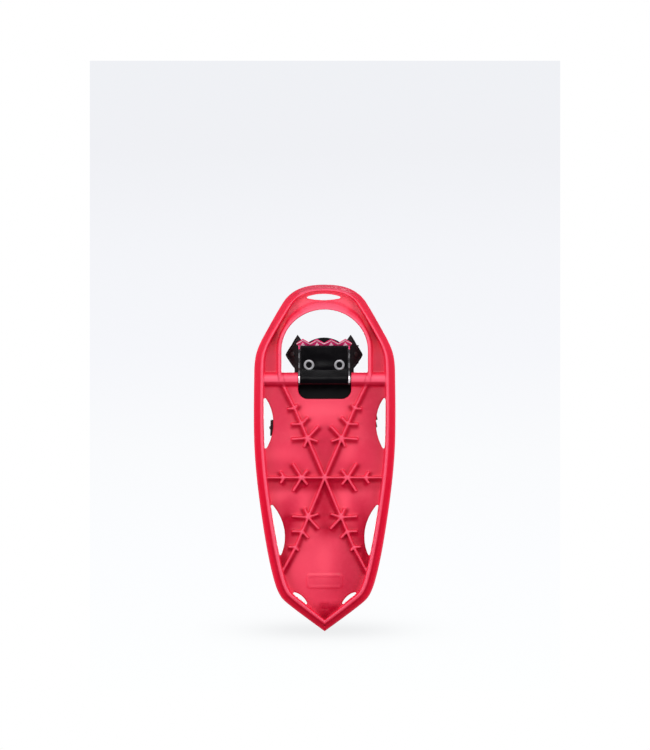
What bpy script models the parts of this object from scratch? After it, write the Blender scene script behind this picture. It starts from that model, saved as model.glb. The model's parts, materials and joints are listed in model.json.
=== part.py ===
"""Child's one-piece moulded snowshoe with a pivoting toe binding.

Lies flat on the ground as it is worn: +Z up, toe towards -Y, tail towards +Y,
X across. The lowest point of the frame's keel ridge is at z = 0. All the
driving dimensions below are in millimetres and turned to metres on output.
"""

import math

import bmesh
import bpy
import numpy as np
from mathutils import Matrix, Vector

MM = 0.001

# ---------------------------------------------------------------- dimensions
LENGTH = 432.0
TOE_Y, TAIL_Y = -216.0, 216.0
TOE_RISE, TOE_RISE_FROM = 30.0, -122.0     # upturn of the toe
TAIL_RISE, TAIL_RISE_FROM = 8.0, 148.0     # slight upturn of the tail
# half outline: (x, y) and the heading in degrees from +Y, and handle factors
OUTLINE = (
    (0.0, -216.0, 90.0, 0.8),
    (51.8, -193.7, 32.0, 1.2),
    (72.0, -158.5, 28.8, 1.0),
    (84.8, -131.0, 16.0, 1.0),
    (87.8, -97.5, 1.0, 1.0),
    (88.0, -30.0, -1.0, 1.0),
    (78.6, 71.0, -8.5, 1.0),
    (63.0, 152.2, -15.5, 1.0),
    (54.8, 172.2, -32.0, 1.0),
    (45.6, 181.7, -51.0, 1.0),
    (0.0, 216.0, -53.5, 1.0),
)
# rim section, as inset from the outer edge and height (full-width size)
RIM = (
    (0.0, 13.1), (0.0, 15.4), (1.2, 17.4), (4.0, 18.8), (9.0, 18.8),
    (11.6, 17.2), (12.8, 13.4), (12.6, 8.6), (12.3, 0.9), (11.7, 0.0),
    (9.3, 0.0), (8.4, 0.8), (1.7, 12.3),
)
# how wide the rim is along the shoe, as a share of that full width
RIM_WIDTH = (
    (-216.0, 0.60), (-208.0, 0.70), (-195.0, 0.79), (-160.0, 0.76),
    (-147.0, 0.77), (-130.0, 0.84), (-115.0, 0.91), (-56.0, 0.92),
    (0.0, 0.94), (52.0, 0.97), (121.0, 1.03), (170.0, 0.98), (200.0, 0.88), (216.0, 0.83),
)
PLATE_Z0, PLATE_Z1 = 8.8, 12.0             # deck plate, underside and top
RIB_W, RIB_Z = 3.3, 3.4                    # snowflake ribs, width and lower edge
FLAKE_Y = 24.2                             # centre of the snowflake
TOE_HOLE_Y, TOE_HOLE_A, TOE_HOLE_B = -133.4, 53.7, 51.2
LIP_W, LIP_Z = 4.6, 0.6                    # lip rib round the toe hole
NOTCH_X, NOTCH_Y, NOTCH_R = 33.0, -73.4, 12.0
AXLE_Y, AXLE_Z, AXLE_R, AXLE_HALF = -97.5, 9.6, 4.0, 70.0
HOUSING_R, HOUSING_TOP = 8.6, 16.6
GAP = 0.3                                  # running and assembly clearance
BORE_R = AXLE_R + GAP
KEEPER_X, KEEPER_Y, KEEPER_T = (58.0, 71.5), (-113.5, -81.5), 2.0
KEEPER_SCREWS_Y = (-109.8, -85.2)

BIND_X = -0.6                              # the binding floats to one side
STRAP_HALF, STRAP_T = 29.9, 3.0            # pivot strap
LOOP_R = BORE_R + STRAP_T / 2
LOWER_Z, UPPER_Z = 9.8, AXLE_Z + LOOP_R    # mid heights of its two layers
STRAP_FRONT, STRAP_BEND = -139.5, -108.5
RIVET_X, RIVET_Y = 18.9, -115.7
CRAMPON_Z0, CRAMPON_Z1, CRAMPON_T = 11.6, 13.6, 1.8
CRAMPON_FOLD, CRAMPON_REAR, CRAMPON_HALF = -140.0, -107.0, 32.0
TOOTH_PITCH, TOOTH_TIP, TOOTH_ROOT, TOOTH_TILT = 17.6, 13.0, 4.2, 55.0
FOOT_Z0, FOOT_Z1 = 17.2, 20.7
FOOT_FRONT, FOOT_R, FOOT_HALF, FOOT_REAR = -149.8, 36.0, 32.0, -58.0
WING_T, WING_Z = 2.4, 22.2                 # panel thickness and root mid height
WING_FLAT, WING_A, WING_B = 31.0, 17.2, 23.0
SCREW_X, WING_SCREWS_Y = 29.3, (-130.0, -88.0)
WEB_T = 1.8                                # webbing thickness
TOE_STRAP_Y, TOE_STRAP_W = -129.0, 18.0
INSTEP_Y, INSTEP_W = -91.0, 20.0
HEEL_W, HEEL_PIVOT = 18.0, (-91.0, 48.0)
HEEL_RISE = 8.0 / 153.0                    # strap climbs towards the heel


# ------------------------------------------------------------------- helpers
for old in list(bpy.data.objects):
    bpy.data.objects.remove(old, do_unlink=True)


def material(name, rgb, rough, metal=0.0):
    mat = bpy.data.materials.new(name)
    mat.use_nodes = True
    bsdf = mat.node_tree.nodes["Principled BSDF"]
    linear = [c / 12.92 if c <= 0.04045 else ((c + 0.055) / 1.055) ** 2.4
              for c in (v / 255 for v in rgb)]
    bsdf.inputs["Base Color"].default_value = (*linear, 1)
    bsdf.inputs["Roughness"].default_value = rough
    bsdf.inputs["Metallic"].default_value = metal
    mat.diffuse_color = (*linear, 1)
    return mat


def solid(name, verts, faces):
    """A closed mesh from points in mm, with its faces turned outwards."""
    mesh = bpy.data.meshes.new(name)
    mesh.from_pydata([tuple(float(c) * MM for c in v) for v in verts], [], faces)
    bm = bmesh.new()
    bm.from_mesh(mesh)
    bmesh.ops.recalc_face_normals(bm, faces=bm.faces)
    if bm.calc_volume(signed=True) < 0:
        bmesh.ops.reverse_faces(bm, faces=bm.faces)
    bm.to_mesh(mesh)
    bm.free()
    obj = bpy.data.objects.new(name, mesh)
    bpy.context.scene.collection.objects.link(obj)
    return obj


def extrude(name, outline, place, t0, t1):
    """A plate: a 2-D outline taken from t0 to t1; place(a, b, t) gives xyz."""
    n = len(outline)
    verts = [place(a, b, t0) for a, b in outline] + [place(a, b, t1) for a, b in outline]
    faces = [list(range(n))[::-1], list(range(n, 2 * n))]
    faces += [[i, (i + 1) % n, n + (i + 1) % n, n + i] for i in range(n)]
    return solid(name, verts, faces)


def plan(name, outline, z0, z1):
    return extrude(name, outline, lambda a, b, t: (a, b, t), z0, z1)


def box(name, x0, x1, y0, y1, z0, z1):
    return plan(name, [(x0, y0), (x1, y0), (x1, y1), (x0, y1)], z0, z1)


def turned(name, profile, origin, axis, n=24):
    """A solid of revolution: profile of (radius, height) along axis."""
    axis = Vector(axis).normalized()
    turn = Vector((0, 0, 1)).rotation_difference(axis).to_matrix()
    rows, verts = [], []
    for r, h in profile:
        if r == 0:
            rows.append([len(verts)] * n)
            verts.append(turn @ Vector((0, 0, h)) + Vector(origin))
            continue
        rows.append(list(range(len(verts), len(verts) + n)))
        for i in range(n):
            a = 2 * math.pi * i / n
            verts.append(turn @ Vector((r * math.cos(a), r * math.sin(a), h)) + Vector(origin))
    faces, closed = [], profile[0][0] > 0
    for j in range(len(rows) if closed else len(rows) - 1):
        a, b = rows[j], rows[(j + 1) % len(rows)]
        for i in range(n):
            k = (i + 1) % n
            face = []
            for v in (a[i], a[k], b[k], b[i]):
                if v not in face:
                    face.append(v)
            if len(face) > 2:
                faces.append(face)
    return solid(name, verts, faces)


def rod(name, start, end, radius, n=24):
    start, end = Vector(start), Vector(end)
    length = (end - start).length
    return turned(name, [(0, 0), (radius, 0), (radius, length), (0, length)],
                  start, end - start, n)


def combine(obj, others, operation):
    for other in others:
        mod = obj.modifiers.new("cut", "BOOLEAN")
        mod.solver, mod.operation, mod.object = "EXACT", operation, other
        graph = bpy.context.evaluated_depsgraph_get()
        mesh = bpy.data.meshes.new_from_object(obj.evaluated_get(graph))
        obj.modifiers.clear()
        obj.data = mesh
        mesh.name = obj.name
        bpy.data.objects.remove(other, do_unlink=True)
    return obj


def join(obj, *others):
    return combine(obj, others, "UNION")


def cut(obj, *others):
    return combine(obj, others, "DIFFERENCE")


def finish(obj, mat, smooth=None):
    obj.data.materials.clear()
    obj.data.materials.append(mat)
    if smooth:
        obj.data.shade_smooth()
        obj.data.set_sharp_from_angle(angle=math.radians(smooth))
    return obj


def set_origin(obj, point):
    """Puts the object's origin at a point in mm without moving its shape."""
    shift = Vector(point) * MM
    obj.data.transform(Matrix.Translation(-shift))
    obj.location = shift


def strip(name, path, width, thick, across, close=False):
    """Webbing or sheet: a flat strip whose middle line runs along path, with
    its width along the direction across and its thickness square to both."""
    pts = [Vector(p) for p in path]
    across = Vector(across).normalized()
    n = len(pts)
    verts = []
    for i, p in enumerate(pts):
        back = pts[i] - pts[i - 1] if i else pts[1] - pts[0]
        ahead = pts[i + 1] - pts[i] if i < n - 1 else back
        back, ahead = back.normalized(), ahead.normalized()
        along = (back + ahead).normalized()
        stretch = 1 / max(0.5, along.dot(ahead))
        side = along.cross(across).normalized()
        for w, t in ((-1, -1), (1, -1), (1, 1), (-1, 1)):
            verts.append(p + across * (w * width / 2) + side * (t * thick / 2 * stretch))
    faces = [[3, 2, 1, 0], [4 * n - 4, 4 * n - 3, 4 * n - 2, 4 * n - 1]]
    for i in range(n - 1):
        a, b = 4 * i, 4 * i + 4
        faces += [[a + k, a + (k + 1) % 4, b + (k + 1) % 4, b + k] for k in range(4)]
    return solid(name, verts, faces)


def catmull(points, steps=3):
    """A smooth curve through the points."""
    pts = [np.array(p, float) for p in points]
    pts = [2 * pts[0] - pts[1]] + pts + [2 * pts[-1] - pts[-2]]
    out = []
    for i in range(1, len(pts) - 2):
        p0, p1, p2, p3 = pts[i - 1:i + 3]
        for k in range(steps):
            t = k / steps
            out.append(0.5 * (2 * p1 + (p2 - p0) * t + (2 * p0 - 5 * p1 + 4 * p2 - p3) * t * t
                              + (3 * p1 - p0 - 3 * p2 + p3) * t ** 3))
    out.append(pts[-2])
    return out


# ------------------------------------------------------------------- outline
def heading(deg):
    return np.array([math.sin(math.radians(deg)), math.cos(math.radians(deg))])


def outline_curve(steps=24):
    """Right half of the outer edge from toe tip to tail tip, as points."""
    out = []
    for (x0, y0, a0, f0), (x1, y1, a1, f1) in zip(OUTLINE[:-1], OUTLINE[1:]):
        p0, p1 = np.array([x0, y0]), np.array([x1, y1])
        turn = abs(math.radians(a1 - a0))
        chord = np.linalg.norm(p1 - p0)
        h = chord * 2 / 3 * math.tan(turn / 4) / math.sin(turn / 2) if turn > 1e-3 else chord / 3
        c0 = p0 + heading(a0) * h * (f0 if y0 == TOE_Y else 1)
        c1 = p1 - heading(a1) * h * (f1 if y0 == TOE_Y else 1)
        for k in range(steps):
            t = k / steps
            out.append((1 - t) ** 3 * p0 + 3 * (1 - t) ** 2 * t * c0 + 3 * (1 - t) * t * t * c1 + t ** 3 * p1)
    out.append(np.array(OUTLINE[-1][:2]))
    return np.array(out)


def loop_stations(count=36, last=16.0):
    """Points round the whole outer edge with their inward directions."""
    curve = outline_curve()
    arc = np.concatenate([[0], np.cumsum(np.linalg.norm(np.diff(curve, axis=0), axis=1))])
    # closer together round the toe and the rear corner, where the edge bends
    bend = np.interp(curve[:, 1], [-216, -170, -150, -110, -80, 135, 148, 185, 195, 216], [3, 2, 2.4, 2.4, 0.8, 0.8, 3.2, 3.2, 1, 0.6])
    weight = np.concatenate([[0], np.cumsum(np.diff(arc) * (bend[1:] + bend[:-1]) / 2)])
    reach = np.interp(arc[-1] - last, arc, weight)
    along = np.interp(np.linspace(0, reach, count), weight, arc)
    pts = np.stack([np.interp(along, arc, curve[:, 0]), np.interp(along, arc, curve[:, 1])], 1)
    ahead = np.stack([np.interp(along + 0.5, arc, curve[:, 0]), np.interp(along + 0.5, arc, curve[:, 1])], 1)
    tang = ahead - pts
    tang /= np.linalg.norm(tang, axis=1)[:, None]
    inward = np.stack([-tang[:, 1], tang[:, 0]], 1)
    pts[0], inward[0] = (0, TOE_Y), (0, 1)
    tip = np.array([[0.0, TAIL_Y]])
    mitre = 1 / math.sin(math.radians(-OUTLINE[-1][2]))
    pts, inward = np.vstack([pts, tip]), np.vstack([inward, [[0, -mitre]]])
    left = slice(len(pts) - 2, 0, -1)
    flip = np.array([-1, 1])
    return np.vstack([pts, pts[left] * flip]), np.vstack([inward, inward[left] * flip])


STATIONS, INWARD = loop_stations()


def rim_share(y):
    return np.interp(y, [p[0] for p in RIM_WIDTH], [p[1] for p in RIM_WIDTH])


def inset_loop(distance):
    """The outer edge moved inwards by a share of the rim's local width."""
    return STATIONS + INWARD * (distance * rim_share(STATIONS[:, 1]))[:, None]


def wall_x(y, distance=12.3):
    """Half width at the rim's inner wall at this y, on the straight sides."""
    loop = inset_loop(distance)
    half = loop[:len(loop) // 2 + 1]
    return float(np.interp(y, half[:, 1], half[:, 0]))


# ---------------------------------------------------------------------- deck
def make_rim():
    loops = [inset_loop(d) for d, _ in RIM]
    n, m = len(STATIONS), len(RIM)
    verts = [(*loops[j][i], RIM[j][1]) for i in range(n) for j in range(m)]
    faces = [[i * m + j, i * m + (j + 1) % m, ((i + 1) % n) * m + (j + 1) % m, ((i + 1) % n) * m + j]
             for i in range(n) for j in range(m)]
    return solid("deck", verts, faces)


def ellipse_arc(a, b, cy, y_side, n=28, grow=0.0):
    """Half ellipse open towards the tail, with straight sides down to y_side."""
    pts = [(-(a + grow), y_side)]
    pts += [(-(a + grow) * math.cos(math.pi * k / n), cy - (b + grow) * math.sin(math.pi * k / n))
            for k in range(n + 1)]
    return pts + [(a + grow, y_side)]


def notch_path(n=5):
    """Rounded slot behind the toe hole, right corner to left corner."""
    out = []
    for side in (1, -1):
        arc = []
        for k in range(n + 1):
            a = math.pi / 2 * k / n
            arc.append((side * (NOTCH_X - NOTCH_R + NOTCH_R * math.cos(a)),
                        NOTCH_Y - NOTCH_R + NOTCH_R * math.sin(a)))
        out += arc if side == 1 else arc[::-1]
    return out


def bezier(p0, p1, p2, p3, n=10):
    p0, p1, p2, p3 = (np.array(p, float) for p in (p0, p1, p2, p3))
    return [tuple((1 - t) ** 3 * p0 + 3 * (1 - t) ** 2 * t * p1 + 3 * (1 - t) * t * t * p2 + t ** 3 * p3)
            for t in (k / n for k in range(n + 1))]


def side_windows(side):
    """Cutters for the three windows along one side of the plate."""
    out = []
    flip = lambda pts: [(side * x, y) for x, y in pts]
    # upper and lower crescents: an arched inner edge and the rim as outer edge
    for name, inner in (
        ("upper", bezier((wall_x(-78.4), -78.4), (61.4, -62.5), (58.2, -31.0), (wall_x(-7.0), -7.0))),
        ("lower", bezier((wall_x(54.0), 54.0), (48.6, 73.5), (43.6, 103.0), (wall_x(125.0), 125.0))),
    ):
        ys = np.linspace(inner[-1][1], inner[0][1], 6)
        outer = [(wall_x(y, 11.0), y) for y in ys]
        out.append(plan(f"cut_{name}", flip(inner + outer), 5, 16))
    # tail lens: straight along the rim, bowed on the deck side
    a, b = (42.8, 166.9), (19.4, 185.6)
    inner = bezier(a, (34.4, 165.6), (24.4, 171.4), b, 8)
    out.append(plan("cut_tail", flip(inner + [(b[0] - 0.1, b[1] + 0.4), (a[0] + 0.1, a[1] + 0.3)]), 5, 16))
    return out


def bar(name, p, q, width=RIB_W, z0=RIB_Z, z1=PLATE_Z0 + 0.6):
    """A straight rib from p to q, slightly narrower at its lower edge."""
    p, q = np.array(p, float), np.array(q, float)
    along = (q - p) / np.linalg.norm(q - p)
    side = np.array([-along[1], along[0]])
    verts = []
    for z, w in ((z0, width * 0.84), (z1, width)):
        verts += [(*(e + s * side * w / 2), z) for e, s in ((p, -1), (q, -1), (q, 1), (p, 1))]
    return solid(name, verts, [[3, 2, 1, 0], [4, 5, 6, 7], [0, 1, 5, 4], [1, 2, 6, 5], [2, 3, 7, 6], [3, 0, 4, 7]])


def flake_bars():
    """Six arms and their twigs. Each twig: distance out along its arm, its
    direction in degrees from +X (left arm, upper half) and its length."""
    centre = np.array([0.0, FLAKE_Y])
    bars = []
    ray = lambda deg: np.array([math.cos(math.radians(deg)), math.sin(math.radians(deg))])
    # each diagonal arm: its lean, and the end its outer stretch turns to
    arms = {1: (23.4, np.array([52.7, AXLE_Y + 4.4])), -1: (22.6, np.array([53.2, 142.4]))}
    twigs = (
        (53.5, 176.0, 20.0), (53.5, -47.0, 19.8), (53.5, 18.3, 13.5), (53.5, 111.0, 12.0),
        (72.4, 180.0, 13.0), (72.4, -47.0, 11.5),
        (93.3, 180.0, 9.0), (93.3, -56.0, 6.0),
    )
    for sx in (1, -1):
        for sy in (1, -1):              # 1 towards the toe, -1 towards the tail
            fix = lambda v: np.array([sx * v[0], sy * v[1]])
            lean, end = arms[sy]
            out = np.array([-math.sin(math.radians(lean)), -math.cos(math.radians(lean))])
            bars.append((centre - fix(out) * 1.0, centre + fix(out) * 93.6))
            bars.append((centre + fix(out) * 92.6, end * (-sx, 1)))
            for far, deg, length in twigs:
                start = centre + fix(out * far)
                bars.append((start, start + fix(ray(deg)) * length))
        side = wall_x(FLAKE_Y) + 1.0
        bars.append((centre + (sx, 0), centre - (sx * side, 0)))
        for sy in (1, -1):
            for far, deg, length in ((28.6, -122.2, 20.4), (28.6, -51.0, 11.5), (50.0, -124.6, 8.8)):
                start = centre - (sx * far, 0)
                d = ray(deg)
                bars.append((start, start + np.array([sx * d[0], sy * d[1]]) * length))
    return bars


def bend_plate(obj):
    """Cuts the mesh into short bays and lifts the toe and the tail."""
    bm = bmesh.new()
    bm.from_mesh(obj.data)
    toe = [TOE_RISE_FROM - (TOE_RISE_FROM - TOE_Y) * k / 9 for k in range(9)]
    tail = [TAIL_RISE_FROM + (TAIL_Y - TAIL_RISE_FROM) * k / 4 for k in range(4)]
    for y in toe + tail:
        bmesh.ops.bisect_plane(bm, geom=bm.verts[:] + bm.edges[:] + bm.faces[:],
                               dist=1e-7, plane_co=(0, y * MM, 0), plane_no=(0, 1, 0))
    bmesh.ops.triangulate(bm, faces=bm.faces[:])
    for v in bm.verts:
        v.co.z += lift(v.co.y / MM) * MM
    bm.to_mesh(obj.data)
    bm.free()


def lift(y):
    """How far the moulding is raised at this y."""
    toe = max(0.0, (TOE_RISE_FROM - y) / (TOE_RISE_FROM - TOE_Y))
    tail = max(0.0, (y - TAIL_RISE_FROM) / (TAIL_Y - TAIL_RISE_FROM))
    return TOE_RISE * toe ** 2 + TAIL_RISE * tail ** 2


def toe_slot(n):
    """Lens-shaped slot in the toe, pointed at both ends."""
    bow = lambda k, high: (22.6 * (2 * k / n - 1), -199.8 + high * (1 - (2 * k / n - 1) ** 2))
    return [bow(k, -5.0) for k in range(n + 1)] + [bow(k, 3.3) for k in range(n - 1, 0, -1)]


def lip_links():
    """Where the lip round the toe hole runs on over the axle housing into
    the toe-ward arms of the snowflake."""
    return [((side * 55.9, AXLE_Y - 9.5), (side * 52.5, AXLE_Y + 6.0)) for side in (1, -1)]


def make_deck():
    plate = plan("plate", [tuple(p) for p in inset_loop(11.0)], PLATE_Z0, PLATE_Z1)
    hole = ellipse_arc(TOE_HOLE_A, TOE_HOLE_B, TOE_HOLE_Y, AXLE_Y - HOUSING_R - 0.2)
    hole += [(NOTCH_X, AXLE_Y - HOUSING_R - 0.2)] + notch_path() + [(-NOTCH_X, AXLE_Y - HOUSING_R - 0.2)]
    # slot in the toe, bowed on both sides
    slot = toe_slot(10)
    cut(plate, plan("cut_hole", hole, 0, 20), plan("cut_slot", slot, 0, 20))
    for side in (1, -1):
        cut(plate, *side_windows(side))
    deck = make_rim()
    join(deck, plate)
    # lip round the toe hole, from just under the plate's top
    inner = ellipse_arc(TOE_HOLE_A, TOE_HOLE_B, TOE_HOLE_Y, AXLE_Y - 2)
    outer = ellipse_arc(TOE_HOLE_A, TOE_HOLE_B, TOE_HOLE_Y, AXLE_Y - 2, grow=LIP_W)
    join(deck, plan("lip", inner + outer[::-1], LIP_Z, PLATE_Z1 + 0.8))
    for p, q in lip_links():
        join(deck, bar("link", p, q, LIP_W - 0.37, LIP_Z - 0.13, PLATE_Z0 + 0.91))
    # axle housing on each side of the notch
    for side in (1, -1):
        tube = rod("tube", (side * NOTCH_X, AXLE_Y, AXLE_Z), (side * (wall_x(AXLE_Y) + 1.5), AXLE_Y, AXLE_Z), HOUSING_R, 28)
        cut(tube, box("flat", -100, 100, AXLE_Y - 20, AXLE_Y + 20, HOUSING_TOP, 30))
        x0, x1 = sorted((side * 57.2, side * (wall_x(-100) + 0.6)))
        join(tube, box("boss", x0, x1, -114.2, -80.8, PLATE_Z0 + 0.5, HOUSING_TOP))
        join(deck, tube)
    # each rib's edges sit a hair off its neighbours', so that crossings stay clean
    for k, (p, q) in enumerate(flake_bars()):
        join(deck, bar("rib", p, q, RIB_W + 0.013 * (k % 11), RIB_Z + 0.0131 * k, PLATE_Z0 + 0.5 + 0.0117 * k))
    # low pad on top, where the boot's heel lands
    join(deck, box("heel_pad_base", -24.0, 24.0, 8.0, 58.0, PLATE_Z1 - 1.1, PLATE_Z1 + 1.2))
    # plain raised panel near the tail and a shallow pocket behind it
    join(deck, plan("panel", [(sx * (22.0 - c), 153.2 + sy * (8.4 - d))
                              for sx, sy, c, d in ((1, 1, 3, 0), (1, 1, 0, 3), (1, -1, 0, 3), (1, -1, 3, 0),
                                                   (-1, -1, 3, 0), (-1, -1, 0, 3), (-1, 1, 0, 3), (-1, 1, 3, 0))],
                    PLATE_Z0 - 1.0, PLATE_Z0 + 1.7))
    cut(deck, box("pocket", -5.6, 5.6, 180.0, 189.0, 5, PLATE_Z0 + 1.0))
    # channel for the axle, open upwards, and the keeper screw holes
    for side in (1, -1):
        end = side * (AXLE_HALF + GAP)
        start = side * (NOTCH_X - 2)
        slot_x = sorted((start, end))
        channel = rod("bore", (start, AXLE_Y, AXLE_Z), (end, AXLE_Y, AXLE_Z), BORE_R, 24)
        join(channel, box("way", *slot_x, AXLE_Y - BORE_R, AXLE_Y + BORE_R, AXLE_Z, 24))
        cut(deck, channel)
        for y in KEEPER_SCREWS_Y:
            x = side * sum(KEEPER_X) / 2
            cut(deck, rod("pilot", (x, y, 10.4), (x, y, 20), 1.8, 12))
    bend_plate(deck)
    return deck


RED = material("moulded_red", (243, 65, 90), 0.38)
STEEL = material("steel", (196, 198, 202), 0.28, 1.0)
BLACK_STRAP = material("black_urethane", (20, 18, 22), 0.42)
BLACK_PLASTIC = material("black_plastic", (24, 22, 25), 0.5)
WING_BLACK = material("black_panel", (27, 17, 22), 0.6)
WEBBING = material("black_webbing", (22, 21, 24), 0.8)
GREY = material("grey_plastic", (118, 120, 124), 0.5)
RUBBER = material("pad_rubber", (34, 33, 36), 0.75)

deck = finish(make_deck(), RED, 32)
axle = finish(rod("axle_rod", (-AXLE_HALF, AXLE_Y, AXLE_Z), (AXLE_HALF, AXLE_Y, AXLE_Z), AXLE_R, 24), STEEL, 32)

for side, word in ((-1, "left"), (1, "right")):
    x = side * sum(KEEPER_X) / 2
    x0, x1 = sorted((side * KEEPER_X[0], side * KEEPER_X[1]))
    keeper = box(f"keeper_{word}", x0, x1, *KEEPER_Y, HOUSING_TOP + GAP, HOUSING_TOP + GAP + KEEPER_T)
    for y in KEEPER_SCREWS_Y:
        cut(keeper, rod("hole", (x, y, 10), (x, y, 30), 1.8, 12))
    finish(keeper, BLACK_PLASTIC)
    for k, y in enumerate(KEEPER_SCREWS_Y, 1):
        top = HOUSING_TOP + GAP + KEEPER_T + GAP
        screw = turned(f"keeper_screw_{word}_{k}",
                       [(0, 11.2), (1.5, 11.2), (1.5, top), (3.2, top), (3.0, top + 1.3), (1.9, top + 2.0), (0, top + 2.0)],
                       (x, y, 0), (0, 0, 1), 16)
        finish(screw, STEEL, 32)

# ------------------------------------------------------------------- binding


def yz(name, outline, x0, x1):
    """A plate whose outline is given as (y, z), between two values of x."""
    return extrude(name, outline, lambda a, b, t: (t, a, b), x0, x1)


def make_pivot_strap():
    """One strap, doubled back round the axle."""
    c = np.array([AXLE_Y, AXLE_Z])
    bend = np.array([STRAP_BEND, LOWER_Z])
    d = bend - c
    dist = np.linalg.norm(d)
    # the tangent point below the axle, for the sloping run of the lower layer
    base = math.atan2(d[1], d[0])
    swing = math.acos(LOOP_R / dist)
    start = base + swing
    if math.sin(start) > 0:
        start = base - swing
    start = start % (2 * math.pi)
    path = [(0, STRAP_FRONT, LOWER_Z), (0, STRAP_BEND - 1.2, LOWER_Z), (0, STRAP_BEND + 0.8, LOWER_Z - 0.7)]
    end = 2 * math.pi + math.pi / 2
    n = 14
    for k in range(n + 1):
        a = start + (end - start) * k / n
        path.append((0, c[0] + LOOP_R * math.cos(a), c[1] + LOOP_R * math.sin(a)))
    path.append((0, STRAP_FRONT, UPPER_Z))
    path = [(p[0] + BIND_X, p[1], p[2]) for p in path]
    return strip("pivot_strap", path, 2 * STRAP_HALF, STRAP_T, (1, 0, 0))


def rivet_holes(obj, radius=4.5):
    for side in (-1, 1):
        x = BIND_X + side * RIVET_X
        cut(obj, rod("hole", (x, RIVET_Y, 0), (x, RIVET_Y, 40), radius, 20))
    return obj


def make_crampon():
    base = box("crampon", BIND_X - CRAMPON_HALF + 0.1, BIND_X + CRAMPON_HALF - 0.1,
               CRAMPON_FOLD + 0.2, CRAMPON_REAR, CRAMPON_Z0, CRAMPON_Z1)
    # side flanges: three teeth each and an ear round the axle
    ear = []
    for k in range(11):
        a = math.radians(128 - 256 * k / 10)
        ear.append((AXLE_Y + 6.9 * math.cos(a), AXLE_Z + 6.9 * math.sin(a)))
    top_a, bottom_a = ear[0], ear[-1]
    flange = [(-139.0, CRAMPON_Z1 - 0.05), top_a] + ear[1:] + [
        (-108.5, 5.6), (-112.0, 1.4), (-118.0, 5.6), (-124.0, 1.4), (-130.0, 5.6), (-135.0, 1.9), (-139.0, 5.6)]
    for side in (-1, 1):
        x0, x1 = sorted((BIND_X + side * (CRAMPON_HALF - CRAMPON_T), BIND_X + side * CRAMPON_HALF))
        piece = yz("flange", flange, x0, x1)
        cut(piece, rod("hole", (x0 - 5, AXLE_Y, AXLE_Z), (x1 + 5, AXLE_Y, AXLE_Z), BORE_R, 24))
        join(base, piece)
    # front flange: four teeth, leaning forwards and down
    zig = [(-31.9, -0.3), (-34.5, 3.9)]
    for k in range(4):
        x = (k - 1.5) * TOOTH_PITCH
        zig.append((x, TOOTH_TIP))
        if k < 3:
            zig.append((x + TOOTH_PITCH / 2, TOOTH_ROOT))
    zig += [(34.5, 3.9), (31.9, -0.3)]
    lean = math.radians(TOOTH_TILT)
    fwd, out = np.array([-math.cos(lean), -math.sin(lean)]), np.array([math.sin(lean), -math.cos(lean)])
    mid = (CRAMPON_Z0 + CRAMPON_Z1) / 2

    def place(a, b, t):
        p = np.array([CRAMPON_FOLD, mid]) + fwd * b - out * t
        return (BIND_X + a, p[0], p[1])
    return rivet_holes(join(base, extrude("front", zig, place, -CRAMPON_T / 2, CRAMPON_T / 2)))


def make_foot_plate():
    """Sole plate with a rounded toe end and two feet that rest on the deck."""
    arc = []
    half_angle = math.asin(23.5 / FOOT_R)
    for k in range(13):
        a = -half_angle + 2 * half_angle * k / 12
        arc.append((FOOT_R * math.sin(a), FOOT_FRONT + FOOT_R * (1 - math.cos(a))))
    outline = arc + [(FOOT_HALF, -141.0), (FOOT_HALF, -86.0), (38.0, -80.0), (38.0, -64.0), (32.0, FOOT_REAR)]
    outline += [(-32.0, FOOT_REAR), (-38.0, -64.0), (-38.0, -80.0), (-FOOT_HALF, -86.0), (-FOOT_HALF, -141.0)]
    plate = plan("foot_plate", [(x + BIND_X, y) for x, y in outline], FOOT_Z0, FOOT_Z1)
    for side in (-1, 1):
        x0, x1 = sorted((side * 8.0, side * 30.0))
        join(plate, box("foot", x0, x1, -70.0, -60.0, PLATE_Z1 + GAP, FOOT_Z0 + 1))
        for y in WING_SCREWS_Y:
            x = BIND_X + side * SCREW_X
            cut(plate, rod("pilot", (x, y, FOOT_Z0 + 0.8), (x, y, 30), 1.8, 12))
    return rivet_holes(plate)


def wing_curve():
    """Mid line of a side panel's section: flat root, quarter ellipse, upright."""
    pts = [(x, WING_Z) for x in np.linspace(0, WING_FLAT, 12)]
    pts += [(WING_FLAT + WING_A * math.sin(a), WING_Z + WING_B * (1 - math.cos(a)))
            for a in np.linspace(0, math.pi / 2, 60)[1:]]
    pts += [(WING_FLAT + WING_A, WING_Z + WING_B + h) for h in np.linspace(0, 40, 20)[1:]]
    return np.array(pts)


WING = wing_curve()
WING_ARC = np.concatenate([[0], np.cumsum(np.linalg.norm(np.diff(WING, axis=0), axis=1))])
WING_TOP_S = float(np.interp(WING_Z + WING_B, WING[:, 1][WING[:, 0] > WING_FLAT], WING_ARC[WING[:, 0] > WING_FLAT]))


def wing_s(x):
    """Distance along the section at which it is x from the middle."""
    keep = WING[:, 1] < WING_Z + WING_B
    return float(np.interp(x, WING[keep, 0], WING_ARC[keep]))


def wing_point(s, off=0.0):
    """(x, z) on the section at s, moved off towards the boot."""
    x, z = np.interp(s, WING_ARC, WING[:, 0]), np.interp(s, WING_ARC, WING[:, 1])
    x2, z2 = np.interp(s + 0.4, WING_ARC, WING[:, 0]), np.interp(s + 0.4, WING_ARC, WING[:, 1])
    x1, z1 = np.interp(s - 0.4, WING_ARC, WING[:, 0]), np.interp(s - 0.4, WING_ARC, WING[:, 1])
    t = np.array([x2 - x1, z2 - z1])
    t /= np.linalg.norm(t)
    return np.array([x - t[1] * off, z + t[0] * off])


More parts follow.
